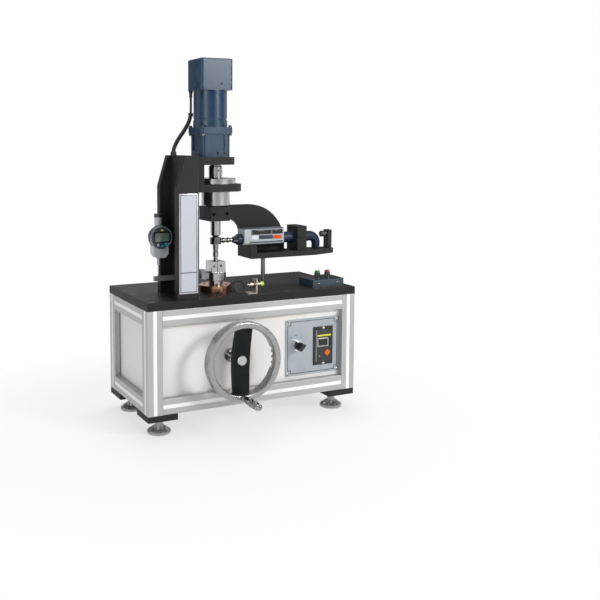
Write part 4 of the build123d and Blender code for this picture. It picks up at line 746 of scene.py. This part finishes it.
# Studio: a pale floor that keeps the machine's shadow and runs into a white background.
# Three soft lamps and an even sky; polished metal sees the sky with softer and darker sides.
floor_size = 14.0
bm = bmesh.new()
bmesh.ops.create_grid(bm, x_segments=1, y_segments=1, size=floor_size)
data = bpy.data.meshes.new("floor")
bm.to_mesh(data)
bm.free()
floor = bpy.data.objects.new("floor", data)
bpy.context.scene.collection.objects.link(floor)
floor_paint = bpy.data.materials.new("floor_paint")
floor_paint.use_nodes = True
tree = floor_paint.node_tree
shader = tree.nodes["Principled BSDF"]
shader.inputs["Base Color"].default_value = (0.88, 0.88, 0.88, 1)
shader.inputs["Roughness"].default_value = 0.7
spot = tree.nodes.new("ShaderNodeTexCoord")
far = tree.nodes.new("ShaderNodeVectorMath")
far.operation = "DISTANCE"
far.inputs[1].default_value = (-0.1, 0.05, 0.0)
tree.links.new(spot.outputs["Object"], far.inputs[0])
shadow_from, shadow_to, least_white = 0.40, 0.80, 0.64
fade = spread(tree, far.outputs["Value"], shadow_from, shadow_to, least_white, 1.0)
white = tree.nodes.new("ShaderNodeEmission")
white.inputs["Color"].default_value = (1, 1, 1, 1)
path = tree.nodes.new("ShaderNodeLightPath")
seen = tree.nodes.new("ShaderNodeMath")
seen.operation = "MAXIMUM"
tree.links.new(path.outputs["Is Camera Ray"], seen.inputs[0])
tree.links.new(path.outputs["Is Glossy Ray"], seen.inputs[1])
share = tree.nodes.new("ShaderNodeMath")
share.operation = "MULTIPLY"
tree.links.new(seen.outputs["Value"], share.inputs[0])
tree.links.new(fade, share.inputs[1])
blend = tree.nodes.new("ShaderNodeMixShader")
tree.links.new(share.outputs["Value"], blend.inputs[0])
tree.links.new(shader.outputs[0], blend.inputs[1])
tree.links.new(white.outputs[0], blend.inputs[2])
tree.links.new(blend.outputs[0], tree.nodes["Material Output"].inputs["Surface"])
data.materials.append(floor_paint)

world = bpy.data.worlds.new("studio")
bpy.context.scene.world = world
world.use_nodes = True
tree = world.node_tree
sky = tree.nodes["Background"]
sky.inputs["Color"].default_value = (1, 1, 1, 1)
sky.inputs["Strength"].default_value = 0.50
open_white = tree.nodes.new("ShaderNodeBackground")
open_white.inputs["Color"].default_value = (1, 1, 1, 1)
open_white.inputs["Strength"].default_value = 1.0
mirror_sky = tree.nodes.new("ShaderNodeBackground")
mirror_sky.inputs["Strength"].default_value = 1.0
way = tree.nodes.new("ShaderNodeTexCoord")
parts = tree.nodes.new("ShaderNodeSeparateXYZ")
tree.links.new(way.outputs["Generated"], parts.inputs[0])
angle = tree.nodes.new("ShaderNodeMath")
angle.operation = "ARCTAN2"
tree.links.new(parts.outputs["Y"], angle.inputs[0])
tree.links.new(parts.outputs["X"], angle.inputs[1])
bands = tree.nodes.new("ShaderNodeMath")
bands.operation = "MULTIPLY_ADD"
band_count, band_turn = 5.0, 0.6
bands.inputs[1].default_value = band_count
bands.inputs[2].default_value = band_turn
tree.links.new(angle.outputs["Value"], bands.inputs[0])
swing = tree.nodes.new("ShaderNodeMath")
swing.operation = "SINE"
tree.links.new(bands.outputs["Value"], swing.inputs[0])
tone = spread(tree, swing.outputs["Value"], -0.6, 0.75, 0.07, 1.0)
tree.links.new(tone, mirror_sky.inputs["Color"])
path = tree.nodes.new("ShaderNodeLightPath")
first = tree.nodes.new("ShaderNodeMixShader")
tree.links.new(path.outputs["Is Glossy Ray"], first.inputs[0])
tree.links.new(sky.outputs[0], first.inputs[1])
tree.links.new(mirror_sky.outputs[0], first.inputs[2])
second = tree.nodes.new("ShaderNodeMixShader")
tree.links.new(path.outputs["Is Camera Ray"], second.inputs[0])
tree.links.new(first.outputs[0], second.inputs[1])
tree.links.new(open_white.outputs[0], second.inputs[2])
tree.links.new(second.outputs[0], tree.nodes["World Output"].inputs["Surface"])
aim = Vector((-0.05, 0.0, 0.42))


def lamp(name, place, size, power):
    light = bpy.data.lights.new(name, "AREA")
    light.shape = "SQUARE"
    light.size = size
    light.energy = power
    holder = bpy.data.objects.new(name, light)
    holder.location = place
    holder.rotation_euler = (aim - Vector(place)).to_track_quat("-Z", "Y").to_euler()
    bpy.context.scene.collection.objects.link(holder)


lamp("key_lamp", (1.5, -2.7, 1.7), 0.9, 58)
lamp("left_lamp", (-2.6, -1.7, 1.1), 1.2, 14)
lamp("top_lamp", (0.1, 0.5, 2.7), 1.2, 24)
